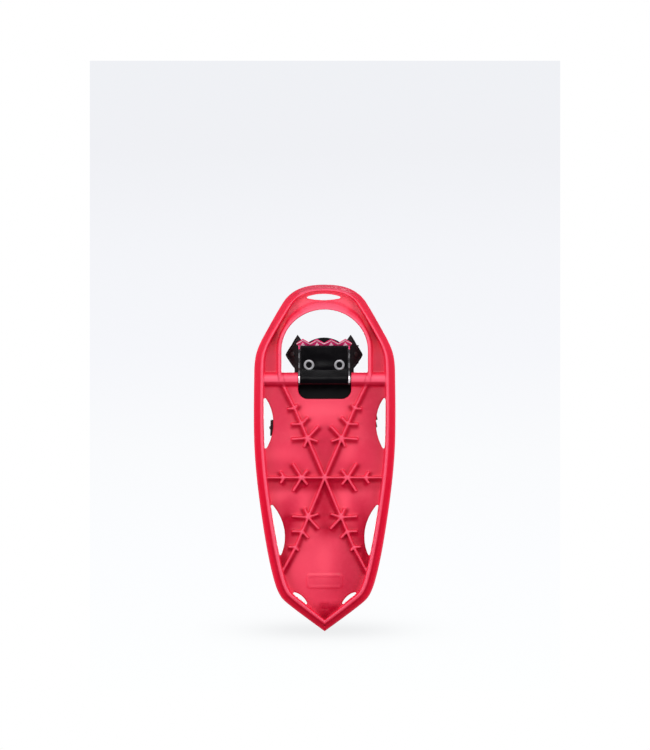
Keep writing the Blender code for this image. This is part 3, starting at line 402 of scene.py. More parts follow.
def bend_plate(obj):
    """Cuts the mesh into short bays and lifts the toe and the tail."""
    bm = bmesh.new()
    bm.from_mesh(obj.data)
    toe = [TOE_RISE_FROM - (TOE_RISE_FROM - TOE_Y) * k / 9 for k in range(9)]
    tail = [TAIL_RISE_FROM + (TAIL_Y - TAIL_RISE_FROM) * k / 4 for k in range(4)]
    for y in toe + tail:
        bmesh.ops.bisect_plane(bm, geom=bm.verts[:] + bm.edges[:] + bm.faces[:],
                               dist=1e-7, plane_co=(0, y * MM, 0), plane_no=(0, 1, 0))
    bmesh.ops.triangulate(bm, faces=bm.faces[:])
    for v in bm.verts:
        v.co.z += lift(v.co.y / MM) * MM
    bm.to_mesh(obj.data)
    bm.free()


def lift(y):
    """How far the moulding is raised at this y."""
    toe = max(0.0, (TOE_RISE_FROM - y) / (TOE_RISE_FROM - TOE_Y))
    tail = max(0.0, (y - TAIL_RISE_FROM) / (TAIL_Y - TAIL_RISE_FROM))
    return TOE_RISE * toe ** 2 + TAIL_RISE * tail ** 2


def toe_slot(n):
    """Lens-shaped slot in the toe, pointed at both ends."""
    bow = lambda k, high: (22.6 * (2 * k / n - 1), -199.8 + high * (1 - (2 * k / n - 1) ** 2))
    return [bow(k, -5.0) for k in range(n + 1)] + [bow(k, 3.3) for k in range(n - 1, 0, -1)]


def lip_links():
    """Where the lip round the toe hole runs on over the axle housing into
    the toe-ward arms of the snowflake."""
    return [((side * 55.9, AXLE_Y - 9.5), (side * 52.5, AXLE_Y + 6.0)) for side in (1, -1)]



def yz(name, outline, x0, x1):
    """A plate whose outline is given as (y, z), between two values of x."""
    return extrude(name, outline, lambda a, b, t: (t, a, b), x0, x1)



def wing_curve():
    """Mid line of a side panel's section: flat root, quarter ellipse, upright."""
    pts = [(x, WING_Z) for x in np.linspace(0, WING_FLAT, 12)]
    pts += [(WING_FLAT + WING_A * math.sin(a), WING_Z + WING_B * (1 - math.cos(a)))
            for a in np.linspace(0, math.pi / 2, 60)[1:]]
    pts += [(WING_FLAT + WING_A, WING_Z + WING_B + h) for h in np.linspace(0, 40, 20)[1:]]
    return np.array(pts)


WING = wing_curve()
WING_ARC = np.concatenate([[0], np.cumsum(np.linalg.norm(np.diff(WING, axis=0), axis=1))])
WING_TOP_S = float(np.interp(WING_Z + WING_B, WING[:, 1][WING[:, 0] > WING_FLAT], WING_ARC[WING[:, 0] > WING_FLAT]))


def wing_s(x):
    """Distance along the section at which it is x from the middle."""
    keep = WING[:, 1] < WING_Z + WING_B
    return float(np.interp(x, WING[keep, 0], WING_ARC[keep]))


def wing_point(s, off=0.0):
    """(x, z) on the section at s, moved off towards the boot."""
    x, z = np.interp(s, WING_ARC, WING[:, 0]), np.interp(s, WING_ARC, WING[:, 1])
    x2, z2 = np.interp(s + 0.4, WING_ARC, WING[:, 0]), np.interp(s + 0.4, WING_ARC, WING[:, 1])
    x1, z1 = np.interp(s - 0.4, WING_ARC, WING[:, 0]), np.interp(s - 0.4, WING_ARC, WING[:, 1])
    t = np.array([x2 - x1, z2 - z1])
    t /= np.linalg.norm(t)
    return np.array([x - t[1] * off, z + t[0] * off])



OFF = WING_T / 2 + GAP + WEB_T / 2


def strap_side(x_from, s_to, beyond):
    """Half path, (x, z), from the panel's root up the panel and on."""
    path = [wing_point(s, OFF) for s in np.linspace(wing_s(x_from), s_to, 6)]
    return [tuple(p) for p in path] + list(beyond)



HEEL_PLAN = ((50.6, -100.0), (50.6, -91.0), (50.8, -82.0), (54.6, -70.0), (59.2, -56.0), (61.0, -40.0), (60.6, -14.0),
             (55.5, 16.0), (42.0, 44.0), (22.0, 58.5), (0.0, 62.5))


def heel_z(y):
    return HEEL_PIVOT[1] + (y - HEEL_PIVOT[0]) * HEEL_RISE




# ================================================================ materials
BX = BIND_X


def linear(rgb):
    return tuple(c / 12.92 if c <= 0.04045 else ((c + 0.055) / 1.055) ** 2.4
                 for c in (v / 255 for v in rgb))


class Shader:
    """A node material built step by step."""

    def __init__(self, name):
        self.mat = bpy.data.materials.new(name)
        self.mat.use_nodes = True
        self.tree = self.mat.node_tree
        self.tree.nodes.clear()
        self.out = self.add("ShaderNodeOutputMaterial")
        self.bsdf = self.add("ShaderNodeBsdfPrincipled")
        self.link(self.bsdf, "BSDF", self.out, "Surface")
        self.coord = self.add("ShaderNodeTexCoord")

    def add(self, kind, **settings):
        node = self.tree.nodes.new(kind)
        for key, value in settings.items():
            setattr(node, key, value)
        return node

    def link(self, a, out, b, into):
        self.tree.links.new(a.outputs[out], b.inputs[into])

    def put(self, node, **values):
        for key, value in values.items():
            node.inputs[key.replace("_", " ")].default_value = value
        return node

    def set(self, **values):
        self.put(self.bsdf, **values)
        return self

    def math(self, op, a, b=0.0, c=0.0, clamp=False):
        node = self.add("ShaderNodeMath", operation=op, use_clamp=clamp)
        for k, value in enumerate((a, b, c)):
            if isinstance(value, tuple):
                self.tree.links.new(value[0].outputs[value[1]], node.inputs[k])
            else:
                node.inputs[k].default_value = value
        return (node, 0)

    def mapped(self, scale=(1, 1, 1), source="Object"):
        node = self.add("ShaderNodeMapping")
        node.inputs["Scale"].default_value = scale
        self.link(self.coord, source, node, "Vector")
        return node

    def noise(self, scale, detail=2.0, rough=0.5, stretch=(1, 1, 1), source="Object"):
        node = self.add("ShaderNodeTexNoise")
        self.put(node, Scale=scale, Detail=detail, Roughness=rough)
        self.link(self.mapped(stretch, source), "Vector", node, "Vector")
        return node

    def range(self, value, a0, a1, b0, b1):
        node = self.add("ShaderNodeMapRange")
        self.tree.links.new(value[0].outputs[value[1]], node.inputs["Value"])
        for key, v in zip(("From Min", "From Max", "To Min", "To Max"), (a0, a1, b0, b1)):
            node.inputs[key].default_value = v
        return (node, 0)

    def mix(self, factor, a, b):
        node = self.add("ShaderNodeMix", data_type="RGBA")
        if isinstance(factor, tuple):
            self.tree.links.new(factor[0].outputs[factor[1]], node.inputs[0])
        else:
            node.inputs[0].default_value = factor
        for slot, value in ((6, a), (7, b)):
            if isinstance(value, bpy.types.Node):
                self.tree.links.new(value.outputs[2], node.inputs[slot])
            else:
                node.inputs[slot].default_value = (*value, 1)
        return node

    def color(self, mix_node):
        self.tree.links.new(mix_node.outputs[2], self.bsdf.inputs["Base Color"])
        return self

    def into(self, value, name):
        self.tree.links.new(value[0].outputs[value[1]], self.bsdf.inputs[name])
        return self

    def bump(self, value, strength, distance):
        node = self.add("ShaderNodeBump")
        self.put(node, Strength=strength, Distance=distance)
        self.tree.links.new(value[0].outputs[value[1]], node.inputs["Height"])
        previous = self.bsdf.inputs["Normal"]
        if previous.is_linked:
            self.tree.links.new(previous.links[0].from_socket, node.inputs["Normal"])
        self.tree.links.new(node.outputs["Normal"], previous)
        return self


def red_plastic():
    """Coral polyethylene: a saturated red body with a painted pale sheen where it
    is seen face on, painted highlights on the crests of ribs and rim, and painted
    light and shade in soft areas, in recesses and behind the ribs."""
    s = Shader("moulded_red_hdpe")
    cloud = s.noise(16, 3, 0.55)
    fine = s.noise(170, 4, 0.65)
    grain = s.noise(2300, 2, 0.5)
    scuff = s.noise(240, 5, 0.7, (1.0, 0.15, 1.0))
    # painted sheen: paler where the surface is seen face on, the saturated body red where it tilts away from the view
    facing = s.add("ShaderNodeLayerWeight")
    s.put(facing, Blend=0.5)
    tilt = s.range((facing, 1), 0.015, 0.30, 0.0, 1.0)
    # painted highlight on the crests of ribs and rim, broken up by fine noise
    crest_light = s.add("ShaderNodeAttribute", attribute_name="crest_highlight")
    # painted shade in recesses, behind the ribs and along the rim
    shade_paint = s.add("ShaderNodeAttribute", attribute_name="painted_shade")
    # painted light and shade in soft lighter and darker areas
    tone = s.add("ShaderNodeAttribute", attribute_name="tone")
    pale = s.mix(s.range((cloud, 0), 0.3, 0.7, 0.0, 1.0), SHEEN_PALE_A, SHEEN_PALE_B)
    pale = s.mix(s.range((tone, 2), 0.0, 1.0, 0.0, 1.0), pale, PAINTED_LIT)
    pale = s.mix(s.range((tone, 2), 0.0, -1.0, 0.0, 1.0), pale, PAINTED_SHADED)
    crest_lit = s.math("MULTIPLY", (crest_light, 2), s.range((fine, 0), 0.25, 0.7, 0.8, 1.0))
    pale = s.mix(crest_lit, pale, SPECKLE_AND_HIGHLIGHT)
    # where the painted sheen is kept on tilted faces
    spread = s.add("ShaderNodeAttribute", attribute_name="broad")
    # painted shade in the pockets beside the toe hole: the saturated body red, without sheen
    shaded_pocket = s.add("ShaderNodeAttribute", attribute_name="shaded_pocket")
    tilt = s.math("MULTIPLY", tilt, s.math("SUBTRACT", 1.0, (spread, 2)))
    tilt = s.math("MAXIMUM", tilt, (shaded_pocket, 2))
    body = s.mix(tilt, pale, BODY)
    # painted highlight on the rim's outer edge and painted light on its flanks
    rim_highlight = s.add("ShaderNodeAttribute", attribute_name="edge")
    body = s.mix((rim_highlight, 2), body, SPECKLE_AND_HIGHLIGHT)
    body = s.mix((shade_paint, 2), body, PAINTED_SHADOW)
    # random fine pale speckle in the plastic
    body = s.mix(s.range((fine, 0), 0.45, 0.8, 0.0, 0.10), body, SPECKLE_AND_HIGHLIGHT)
    s.color(body)
    rough = s.math("ADD", s.range((scuff, 0), 0.35, 0.75, 0.44, 0.56), s.range((cloud, 0), 0.3, 0.7, -0.02, 0.03))
    s.into(rough, "Roughness")
    s.bump((grain, 0), 0.10, 0.0002)
    s.bump((fine, 0), 0.06, 0.0005)
    # less specular where the shade is painted
    s.into(s.range((shade_paint, 2), 0.0, 1.0, 0.14, 0.04), "Specular IOR Level")
    s.set(IOR=1.46)
    return s.mat


def steel(name="zinc_steel", tone=(0.62, 0.62, 0.64), stretch=(1, 14, 1), rough=(0.2, 0.36), metal=0.8):
    s = Shader(name)
    brushed = s.noise(900, 4, 0.6, stretch)
    blotch = s.noise(120, 4, 0.6)
    dark = tuple(v * 0.72 for v in tone)
    s.color(s.mix(s.range((blotch, 0), 0.35, 0.7, 0.0, 1.0), tone, dark))
    s.into(s.range((brushed, 0), 0.3, 0.7, *rough), "Roughness")
    s.bump((brushed, 0), 0.12, 0.0001)
    s.set(Metallic=metal)
    return s.mat


def urethane():
    s = Shader("black_urethane")
    fine = s.noise(1400, 3, 0.6)
    cloud = s.noise(60, 4, 0.6)
    s.color(s.mix(s.range((cloud, 0), 0.3, 0.7, 0.0, 1.0), (0.0008, 0.0005, 0.0012), (0.0016, 0.0011, 0.0020)))
    s.into(s.range((cloud, 0), 0.3, 0.7, 0.16, 0.22), "Roughness")
    s.bump((fine, 0), 0.06, 0.0001)
    s.set(IOR=1.45, Specular_IOR_Level=0.42)
    return s.mat


def grained(name, a, b, rough=(0.45, 0.6), cell=900.0, depth=0.00012, strength=0.35, shine=0.4):
    """Moulded plastic or rubber with a leather-like grain."""
    s = Shader(name)
    cells = s.add("ShaderNodeTexVoronoi", feature="SMOOTH_F1")
    s.put(cells, Scale=cell)
    s.link(s.mapped(), "Vector", cells, "Vector")
    wear = s.noise(140, 5, 0.65)
    s.color(s.mix(s.range((wear, 0), 0.38, 0.72, 0.0, 1.0), a, b))
    s.into(s.range((wear, 0), 0.3, 0.7, *rough), "Roughness")
    s.bump((cells, 0), strength, depth)
    s.set(Specular_IOR_Level=shine)
    return s.mat


def webbing_cloth(name, a, b, pitch=0.00115, rows=0.0021):
    """Woven nylon: yarns slanting one way and then the other across the width."""
    s = Shader(name)
    split = s.add("ShaderNodeSeparateXYZ")
    s.link(s.coord, "UV", split, "Vector")
    u, v = (split, 0), (split, 1)
    zig = s.math("PINGPONG", s.math("ADD", u, 0.5), rows)
    along = s.math("DIVIDE", s.math("ADD", v, s.math("MULTIPLY", zig, 0.75)), pitch)
    yarn = s.math("ABSOLUTE", s.math("SINE", s.math("MULTIPLY", along, math.pi)))
    column = s.math("ABSOLUTE", s.math("SINE", s.math("MULTIPLY", s.math("DIVIDE", u, rows), math.pi)))
    height = s.math("MULTIPLY", s.math("POWER", yarn, 0.7), s.math("ADD", s.math("MULTIPLY", column, 0.55), 0.45))
    fuzz = s.noise(2600, 3, 0.7)
    fade = s.noise(45, 3, 0.5)
    tone = s.mix(height, a, b)
    s.color(s.mix(s.range((fade, 0), 0.4, 0.75, 0.0, 0.5), tone, tuple(v * 1.5 for v in b)))
    s.into(s.range((fuzz, 0), 0.3, 0.7, 0.62, 0.85), "Roughness")
    s.bump(height, 0.75, 0.00045)
    s.bump((fuzz, 0), 0.15, 0.00015)
    s.set(Sheen_Weight=0.12, Sheen_Roughness=0.4)
    return s.mat


# colours of the red plastic: two face-on tones with painted sheen, lighter and darker painted light and shade, a pale
# tone for random speckle and painted highlights, a dark painted shade, and the saturated body red
SHEEN_PALE_A, SHEEN_PALE_B = (0.71, 0.035, 0.080), (0.67, 0.031, 0.073)
PAINTED_LIT, PAINTED_SHADED = (0.85, 0.066, 0.118), (0.52, 0.014, 0.046)
SPECKLE_AND_HIGHLIGHT, PAINTED_SHADOW, BODY = (0.83, 0.092, 0.160), (0.40, 0.0012, 0.020), (0.80, 0.0020, 0.030)
M_RED = red_plastic()
M_STEEL = steel()
M_ROD = steel("axle_steel", (0.66, 0.66, 0.68), (0.15, 6, 6), (0.16, 0.3))
M_RIVET = steel("rivet_steel", (0.40, 0.39, 0.41), (1, 1, 1), (0.24, 0.38), 0.35)
# painted glint: near-white steel for edges that catch the light
M_GLINT = steel("painted_glint_steel", (0.92, 0.86, 0.90), (1, 1, 1), (0.30, 0.45), 0.25)
# painted reflection of the red deck on steel
M_RED_REFLECTION = steel("painted_red_reflection_steel", (0.80, 0.026, 0.170), (1, 14, 1), (0.34, 0.5), 0.15)
# painted highlight: pale pink steel for the gussets
M_GUSSET_HIGHLIGHT = steel("gusset_painted_highlight", (1.0, 0.60, 0.72), (1, 1, 1), (0.30, 0.46), 0.15)
# painted shade: darkened steel
M_SHADED_STEEL = steel("painted_shade_steel", (0.070, 0.068, 0.075), (1, 14, 1), (0.4, 0.55), 0.3)
M_URETHANE = urethane()
M_SOLE = grained("black_sole", (0.0010, 0.0008, 0.0012), (0.0030, 0.0024, 0.0034), (0.62, 0.75), shine=0.08)
M_PLASTIC = grained("black_nylon", (0.0034, 0.0030, 0.0037), (0.0072, 0.0064, 0.0076))
M_WING = grained("black_side_panel", (0.0042, 0.0016, 0.0036), (0.0078, 0.0036, 0.0066), (0.5, 0.68), 620.0, 0.00022, 0.5, 0.15)
M_GREY = grained("grey_nylon", (0.14, 0.145, 0.155), (0.19, 0.195, 0.205), (0.4, 0.55), 1100.0, 0.0001, 0.25)
M_PAD = grained("pad_rubber", (0.014, 0.0135, 0.0150), (0.024, 0.023, 0.025), (0.65, 0.85), 420.0, 0.0004, 0.6)
M_WEB = webbing_cloth("black_webbing", (0.0055, 0.0050, 0.0062), (0.020, 0.019, 0.022))
M_THREAD = webbing_cloth("grey_thread", (0.05, 0.05, 0.055), (0.14, 0.14, 0.15), 0.0004, 0.0006)
M_TONE = webbing_cloth("black_thread", (0.006, 0.005, 0.006), (0.020, 0.017, 0.020), 0.0004, 0.0006)


# ================================================================= geometry
def take(obj, mat, smooth=40):
    obj.data.materials.clear()
    obj.data.materials.append(mat)
    obj.data.shade_smooth()
    if smooth < 180:
        obj.data.set_sharp_from_angle(angle=math.radians(smooth))
    return obj


def bake(obj, *kinds):
    """Applies modifiers: (type, settings) pairs, in order."""
    for kind, settings in kinds:
        mod = obj.modifiers.new(kind.lower(), kind)
        for key, value in settings.items():
            setattr(mod, key, value)
    graph = bpy.context.evaluated_depsgraph_get()
    mesh = bpy.data.meshes.new_from_object(obj.evaluated_get(graph))
    obj.modifiers.clear()
    obj.data = mesh
    return obj


def soften(obj, width=0.4, segments=2, angle=28, material=-1):
    """Rounds the sharp edges of a hard part by width, in mm."""
    bm = bmesh.new()
    bm.from_mesh(obj.data)
    bmesh.ops.remove_doubles(bm, verts=bm.verts[:], dist=2e-6)
    bmesh.ops.dissolve_limit(bm, angle_limit=math.radians(0.6), verts=bm.verts[:], edges=bm.edges[:])
    bm.to_mesh(obj.data)
    bm.free()
    return bake(obj, ("BEVEL", dict(width=width * MM, segments=segments, limit_method="ANGLE",
                                    angle_limit=math.radians(angle), use_clamp_overlap=True, profile=0.6,
                                    material=material)))


def plain_copy(node):
    """A CAD part's mesh as an object of its own."""
    source = frame["nodes"][node]
    mesh = bpy.data.meshes.new(node + "_skin")
    bm = bmesh.new()
    bm.from_mesh(source.data)
    for layer in list(bm.loops.layers.uv):
        bm.loops.layers.uv.remove(layer)
    bm.to_mesh(mesh)
    bm.free()
    if "custom_normal" in mesh.attributes:
        mesh.attributes.remove(mesh.attributes["custom_normal"])
    obj = bpy.data.objects.new(node + "_skin", mesh)
    bpy.context.scene.collection.objects.link(obj)
    return obj


def skin(node, mat, body, width=0.4, segments=2, smooth=38):
    """A finer copy of a hard CAD part, with rounded edges."""
    obj = plain_copy(node)
    if width:
        soften(obj, width, segments)
    take(obj, mat, smooth)
    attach(obj, body)
    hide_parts(node)
    return obj


def place(obj, body, nodes=(), slot=None):
    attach(obj, body)
    if nodes:
        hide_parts(*nodes)
    return obj


def mesh_object(name, verts_mm, faces, uvs=None):
    mesh = bpy.data.meshes.new(name)
    mesh.from_pydata([tuple(float(c) * MM for c in v) for v in verts_mm], [], faces)
    if uvs is not None:
        layer = mesh.uv_layers.new(name="UVMap")
        for poly in mesh.polygons:
            for li in poly.loop_indices:
                layer.data[li].uv = uvs[mesh.loops[li].vertex_index]
    obj = bpy.data.objects.new(name, mesh)
    bpy.context.scene.collection.objects.link(obj)
    return obj


def merge(name, objs):
    """One object out of several meshes, left overlapping."""
    bm = bmesh.new()
    for o in objs:
        temp = o.data.copy()
        temp.transform(o.matrix_world)
        bm.from_mesh(temp)
        bpy.data.meshes.remove(temp)
    mesh = bpy.data.meshes.new(name)
    bm.to_mesh(mesh)
    bm.free()
    for o in objs:
        bpy.data.objects.remove(o, do_unlink=True)
    obj = bpy.data.objects.new(name, mesh)
    bpy.context.scene.collection.objects.link(obj)
    return obj


def smooth_path(path, steps):
    """More points on a smooth curve through the path's points."""
    return [np.array(p) for p in catmull([tuple(p) for p in path], steps)]


class Band:
    """The running frame of a strap: middle line, direction, outward side."""

    def __init__(self, path, across, flip=False):
        self.p = np.array([np.array(q, float) for q in path])
        d = np.gradient(self.p, axis=0)
        self.t = d / np.linalg.norm(d, axis=1)[:, None]
        w = np.array(across, float)
        w = w - (self.t @ w)[:, None] * self.t
        self.w = w / np.linalg.norm(w, axis=1)[:, None]
        self.n = np.cross(self.t, self.w) * (-1 if flip else 1)
        self.s = np.concatenate([[0], np.cumsum(np.linalg.norm(np.diff(self.p, axis=0), axis=1))])
        self.length = float(self.s[-1])

    def at(self, s, w=0.0, n=0.0):
        row = lambda a: np.array([np.interp(s, self.s, a[:, k]) for k in range(3)])
        return row(self.p) + row(self.w) * w + row(self.n) * n

    def frame(self, s):
        row = lambda a: np.array([np.interp(s, self.s, a[:, k]) for k in range(3)])
        return row(self.t), row(self.w), row(self.n)


def webbing(name, band, width, thick, cells=12, selvedge=0.16, wave=0.0):
    """A woven strap: flat section with rounded edges and thicker selvedges."""
    ws = [-math.cos(math.pi * k / cells) for k in range(cells + 1)]
    ring = []
    for k, w in enumerate(ws):
        edge = max(0.0, 1 - abs(w)) * width / 2 / (thick * 0.55)
        t = thick / 2 * math.sqrt(min(1.0, 1 - (1 - min(1.0, edge)) ** 2))
        t += selvedge * math.exp(-((abs(w) - 0.88) / 0.05) ** 2) * (1 if 0 < k < cells else 0)
        ring.append((w * width / 2, t))
    section = [(w, t) for w, t in ring] + [(w, -t) for w, t in ring[::-1][1:-1]]
    m, n = len(section), len(band.p)
    verts, uvs = [], []
    for i in range(n):
        s = band.s[i]
        for w, t in section:
            verts.append(band.p[i] + band.w[i] * w + band.n[i] * (t + wave * math.sin(s * 0.35)))
            uvs.append((w * MM, s * MM))
    faces = [[i * m + j, i * m + (j + 1) % m, (i + 1) * m + (j + 1) % m, (i + 1) * m + j]
             for i in range(n - 1) for j in range(m)]
    faces += [list(range(m))[::-1], [(n - 1) * m + j for j in range(m)]]
    obj = mesh_object(name, verts, faces, uvs)
    fix_normals(obj)
    return obj


def fix_normals(obj):
    bm = bmesh.new()
    bm.from_mesh(obj.data)
    bmesh.ops.recalc_face_normals(bm, faces=bm.faces)
    bm.to_mesh(obj.data)
    bm.free()


def stitches(name, band, rows, lift_n, length=2.3, gap=1.0, r=0.32):
    """Thread: short raised dashes along lines given as ((s, w), (s, w))."""
    verts, faces, uvs = [], [], []
    for (s0, w0), (s1, w1) in rows:
        span = math.hypot(s1 - s0, w1 - w0)
        count = max(1, int(round(span / (length + gap))))
        for k in range(count):
            a, b = (k + 0.12) / count, (k + 0.88) / count
            base = len(verts)
            ends = []
            for f in (a, b):
                ends.append(band.at(s0 + (s1 - s0) * f, w0 + (w1 - w0) * f, lift_n))
            d = ends[1] - ends[0]
            long = np.linalg.norm(d)
            d /= long
            _, _, up = band.frame(s0 + (s1 - s0) * (a + b) / 2)
            up = up * (1 if lift_n > 0 else -1)
            side = np.cross(d, up)
            profile = ((0.0, 0.35), (0.12, 0.8), (0.5, 1.0), (0.88, 0.8), (1.0, 0.35))
            for f, g in profile:
                c = ends[0] + d * long * f
                for q in range(6):
                    ang = 2 * math.pi * q / 6
                    verts.append(c + side * (math.cos(ang) * r * g) + up * (math.sin(ang) * r * g * 0.8))
                    uvs.append((q * 0.0002, f * long * MM))
            for i in range(4):
                for q in range(6):
                    faces.append([base + i * 6 + q, base + i * 6 + (q + 1) % 6, base + (i + 1) * 6 + (q + 1) % 6, base + (i + 1) * 6 + q])
            faces.append([base + q for q in range(6)][::-1])
            faces.append([base + 24 + q for q in range(6)])
    obj = mesh_object(name, verts, faces, uvs)
    fix_normals(obj)
    return obj


def box_rows(s0, s1, half, cross=True):
    """A boxed cross, as sewn at the end of a strap."""
    rows = [((s0, -half), (s1, -half)), ((s1, -half), (s1, half)), ((s1, half), (s0, half)), ((s0, half), (s0, -half))]
    if cross:
        rows += [((s0, -half), (s1, half)), ((s0, half), (s1, -half))]
    return rows


# ===================================================================== deck
def relief(x, y):
    """Gentle facets pressed into the plate, as height in mm."""
    ax = np.abs(x)
    h = -2.4 * np.exp(-(x / 30.0) ** 2 - ((y + 44.0) / 24.0) ** 2)
    h += 2.2 * np.exp(-(x / 22.0) ** 2 - ((y - 58.0) / 34.0) ** 2)
    h += 1.8 * np.exp(-((ax - 42.0) / 16.0) ** 2 - ((y - 18.0) / 16.0) ** 2)
    h += -1.5 * np.exp(-((ax - 46.0) / 18.0) ** 2 - ((y + 16.0) / 16.0) ** 2)
    h += -1.6 * np.exp(-((ax - 44.0) / 18.0) ** 2 - ((y - 52.0) / 13.0) ** 2)
    h += 1.4 * np.exp(-((ax - 40.0) / 10.0) ** 2 - ((y + 52.0) / 22.0) ** 2)
    h += -1.8 * np.exp(-(x / 40.0) ** 2 - ((y - 140.0) / 30.0) ** 2)
    return h


# painted light and shade in soft areas of the plate: centre x, y, reach in x and y, amount, lighter above zero and
# darker below
PAINTED_LIGHT_AREAS = (
    (-3.3, -58.4, 39.8, 18.6, 0.95), (60.1, -53.4, 14.9, 52.2, -1.0), (-54.2, -57.2, 13.7, 34.8, -0.55),
    (0.4, -13.7, 16.2, 23.6, -0.85), (-54.2, -5.0, 27.3, 8.7, 0.55), (27.8, -9.9, 11.2, 14.9, 0.75),
    (-43.1, 13.7, 34.8, 8.7, -0.25), (34.0, 13.7, 34.8, 9.9, -0.35), (-61.7, 48.5, 13.7, 7.5, 0.7),
    (22.8, 58.4, 11.2, 24.8, 0.9), (-24.4, 62.1, 9.9, 22.4, 0.55), (-20.7, 93.2, 11.2, 9.9, 0.7),
    (-23.2, 134.2, 24.8, 37.3, 0.4), (32.7, 139.2, 17.4, 49.7, -0.9), (-0.8, -191.3, 29.8, 11.2, 0.9),
    (40.2, 58.4, 11.2, 17.4, -0.3), (-41.8, 58.4, 9.9, 12.4, -0.4), (0.4, 126.7, 9.9, 34.8, 0.5),
    (-38.1, -69.6, 7.5, 22.4, 0.3), (39.0, -69.6, 7.5, 22.4, 0.3),
    (0.0, -58.0, 26.0, 16.0, -0.35), (-28.0, 92.0, 26.0, 9.0, -0.5), (28.0, 92.0, 26.0, 9.0, -0.5),
)
# painted shade in soft areas of the plate: centre x, y, reach in x and y, amount
PAINTED_SHADE_AREAS = (
    (0.4, 34.8, 67.1, 6.8, 0.85), (0.4, 68.3, 11.2, 32.3, 0.75), (-49.3, 91.9, 9.9, 29.8, 0.85),
    (48.9, 91.9, 11.2, 33.5, 0.95), (-51.8, 130.5, 7.5, 14.9, 0.8), (53.9, 126.7, 8.7, 17.4, 0.9),
    (0.4, 196.3, 13.7, 8.7, 1.0), (16.6, 187.6, 9.9, 7.5, 0.8), (0.4, 185.1, 11.2, 5.0, 0.7),
    (-62.9, -152.8, 7.5, 14.9, 0.75), (60.1, -156.6, 8.7, 17.4, 0.8), (19.1, 164.0, 27.3, 14.9, 0.25),
    (-41.8, 77.0, 9.9, 9.9, 0.5), (12.9, 89.5, 14.9, 7.5, 0.5),
)


def areas(x, y, rows):
    """The sum of soft oval areas at each point."""
    h = np.zeros_like(x)
    for cx, cy, rx, ry, amount in rows:
        h += amount * np.exp(-(((x - cx) / rx) ** 2 + ((y - cy) / ry) ** 2) ** 1.3)
    return h


def edge_distance(co):
    """How far each point is in from the shoe's outline, seen in plan."""
    loop = np.array(inset_loop(0.0))
    rows = np.concatenate([loop + (np.roll(loop, -1, 0) - loop) * k / 4 for k in range(4)]).astype(np.float32)
    out = np.empty(len(co), np.float32)
    for i in range(0, len(co), 4000):
        part = co[i:i + 4000, None, :2] - rows[None]
        out[i:i + 4000] = np.sqrt(np.min(np.einsum("ijk,ijk->ij", part, part), axis=1))
    return out


def rib_shadow(x, y, bars):
    """A painted shadow band along the tail side of each cross rib."""
    h = np.zeros_like(x)
    for p, q in bars:
        p, q = np.array(p, float), np.array(q, float)
        length = np.linalg.norm(q - p)
        along = (q - p) / length
        side = np.array([-along[1], along[0]])
        if side[1] < 0:
            side = -side
        if abs(along[0]) < 0.35:
            continue
        d = (x - p[0]) * side[0] + (y - p[1]) * side[1]
        t = (x - p[0]) * along[0] + (y - p[1]) * along[1]
        ends = ease((t + 3.0) / 5.0) * ease((length + 3.0 - t) / 5.0)
        h = np.maximum(h, 0.9 * np.exp(-((d - 3.9) / 2.6) ** 2) * ends)
    return h


def lift_all(y):
    toe = np.clip((TOE_RISE_FROM - y) / (TOE_RISE_FROM - TOE_Y), 0, None)
    tail = np.clip((y - TAIL_RISE_FROM) / (TAIL_Y - TAIL_RISE_FROM), 0, None)
    return TOE_RISE * toe ** 2 + TAIL_RISE * tail ** 2


def ease(t):
    t = np.clip(t, 0, 1)
    return t * t * (3 - 2 * t)


def round_bar(name, p, q, width, lows, z1):
    """A straight rib with a narrow rounded crest; lows: its lower edge at
    either end."""
    p, q = np.array(p, float), np.array(q, float)
    along = (q - p) / np.linalg.norm(q - p)
    side = np.array([-along[1], along[0]])
    profile = ((-0.5, 0.0), (-0.44, 0.82), (-0.30, 0.96), (-0.12, 1.0), (0.12, 1.0), (0.30, 0.96), (0.44, 0.82), (0.5, 0.0))
    verts = []
    for e, low in ((p, lows[0]), (q, lows[1])):
        verts += [(*(e + side * w * width), z1 + (low - z1) * f) for w, f in profile]
    m = len(profile)
    faces = [[j, (j + 1) % m, m + (j + 1) % m, m + j] for j in range(m)]
    faces += [list(range(m))[::-1], [m + j for j in range(m)]]
    obj = solid(name, verts, faces)
    fix_normals(obj)
    return obj


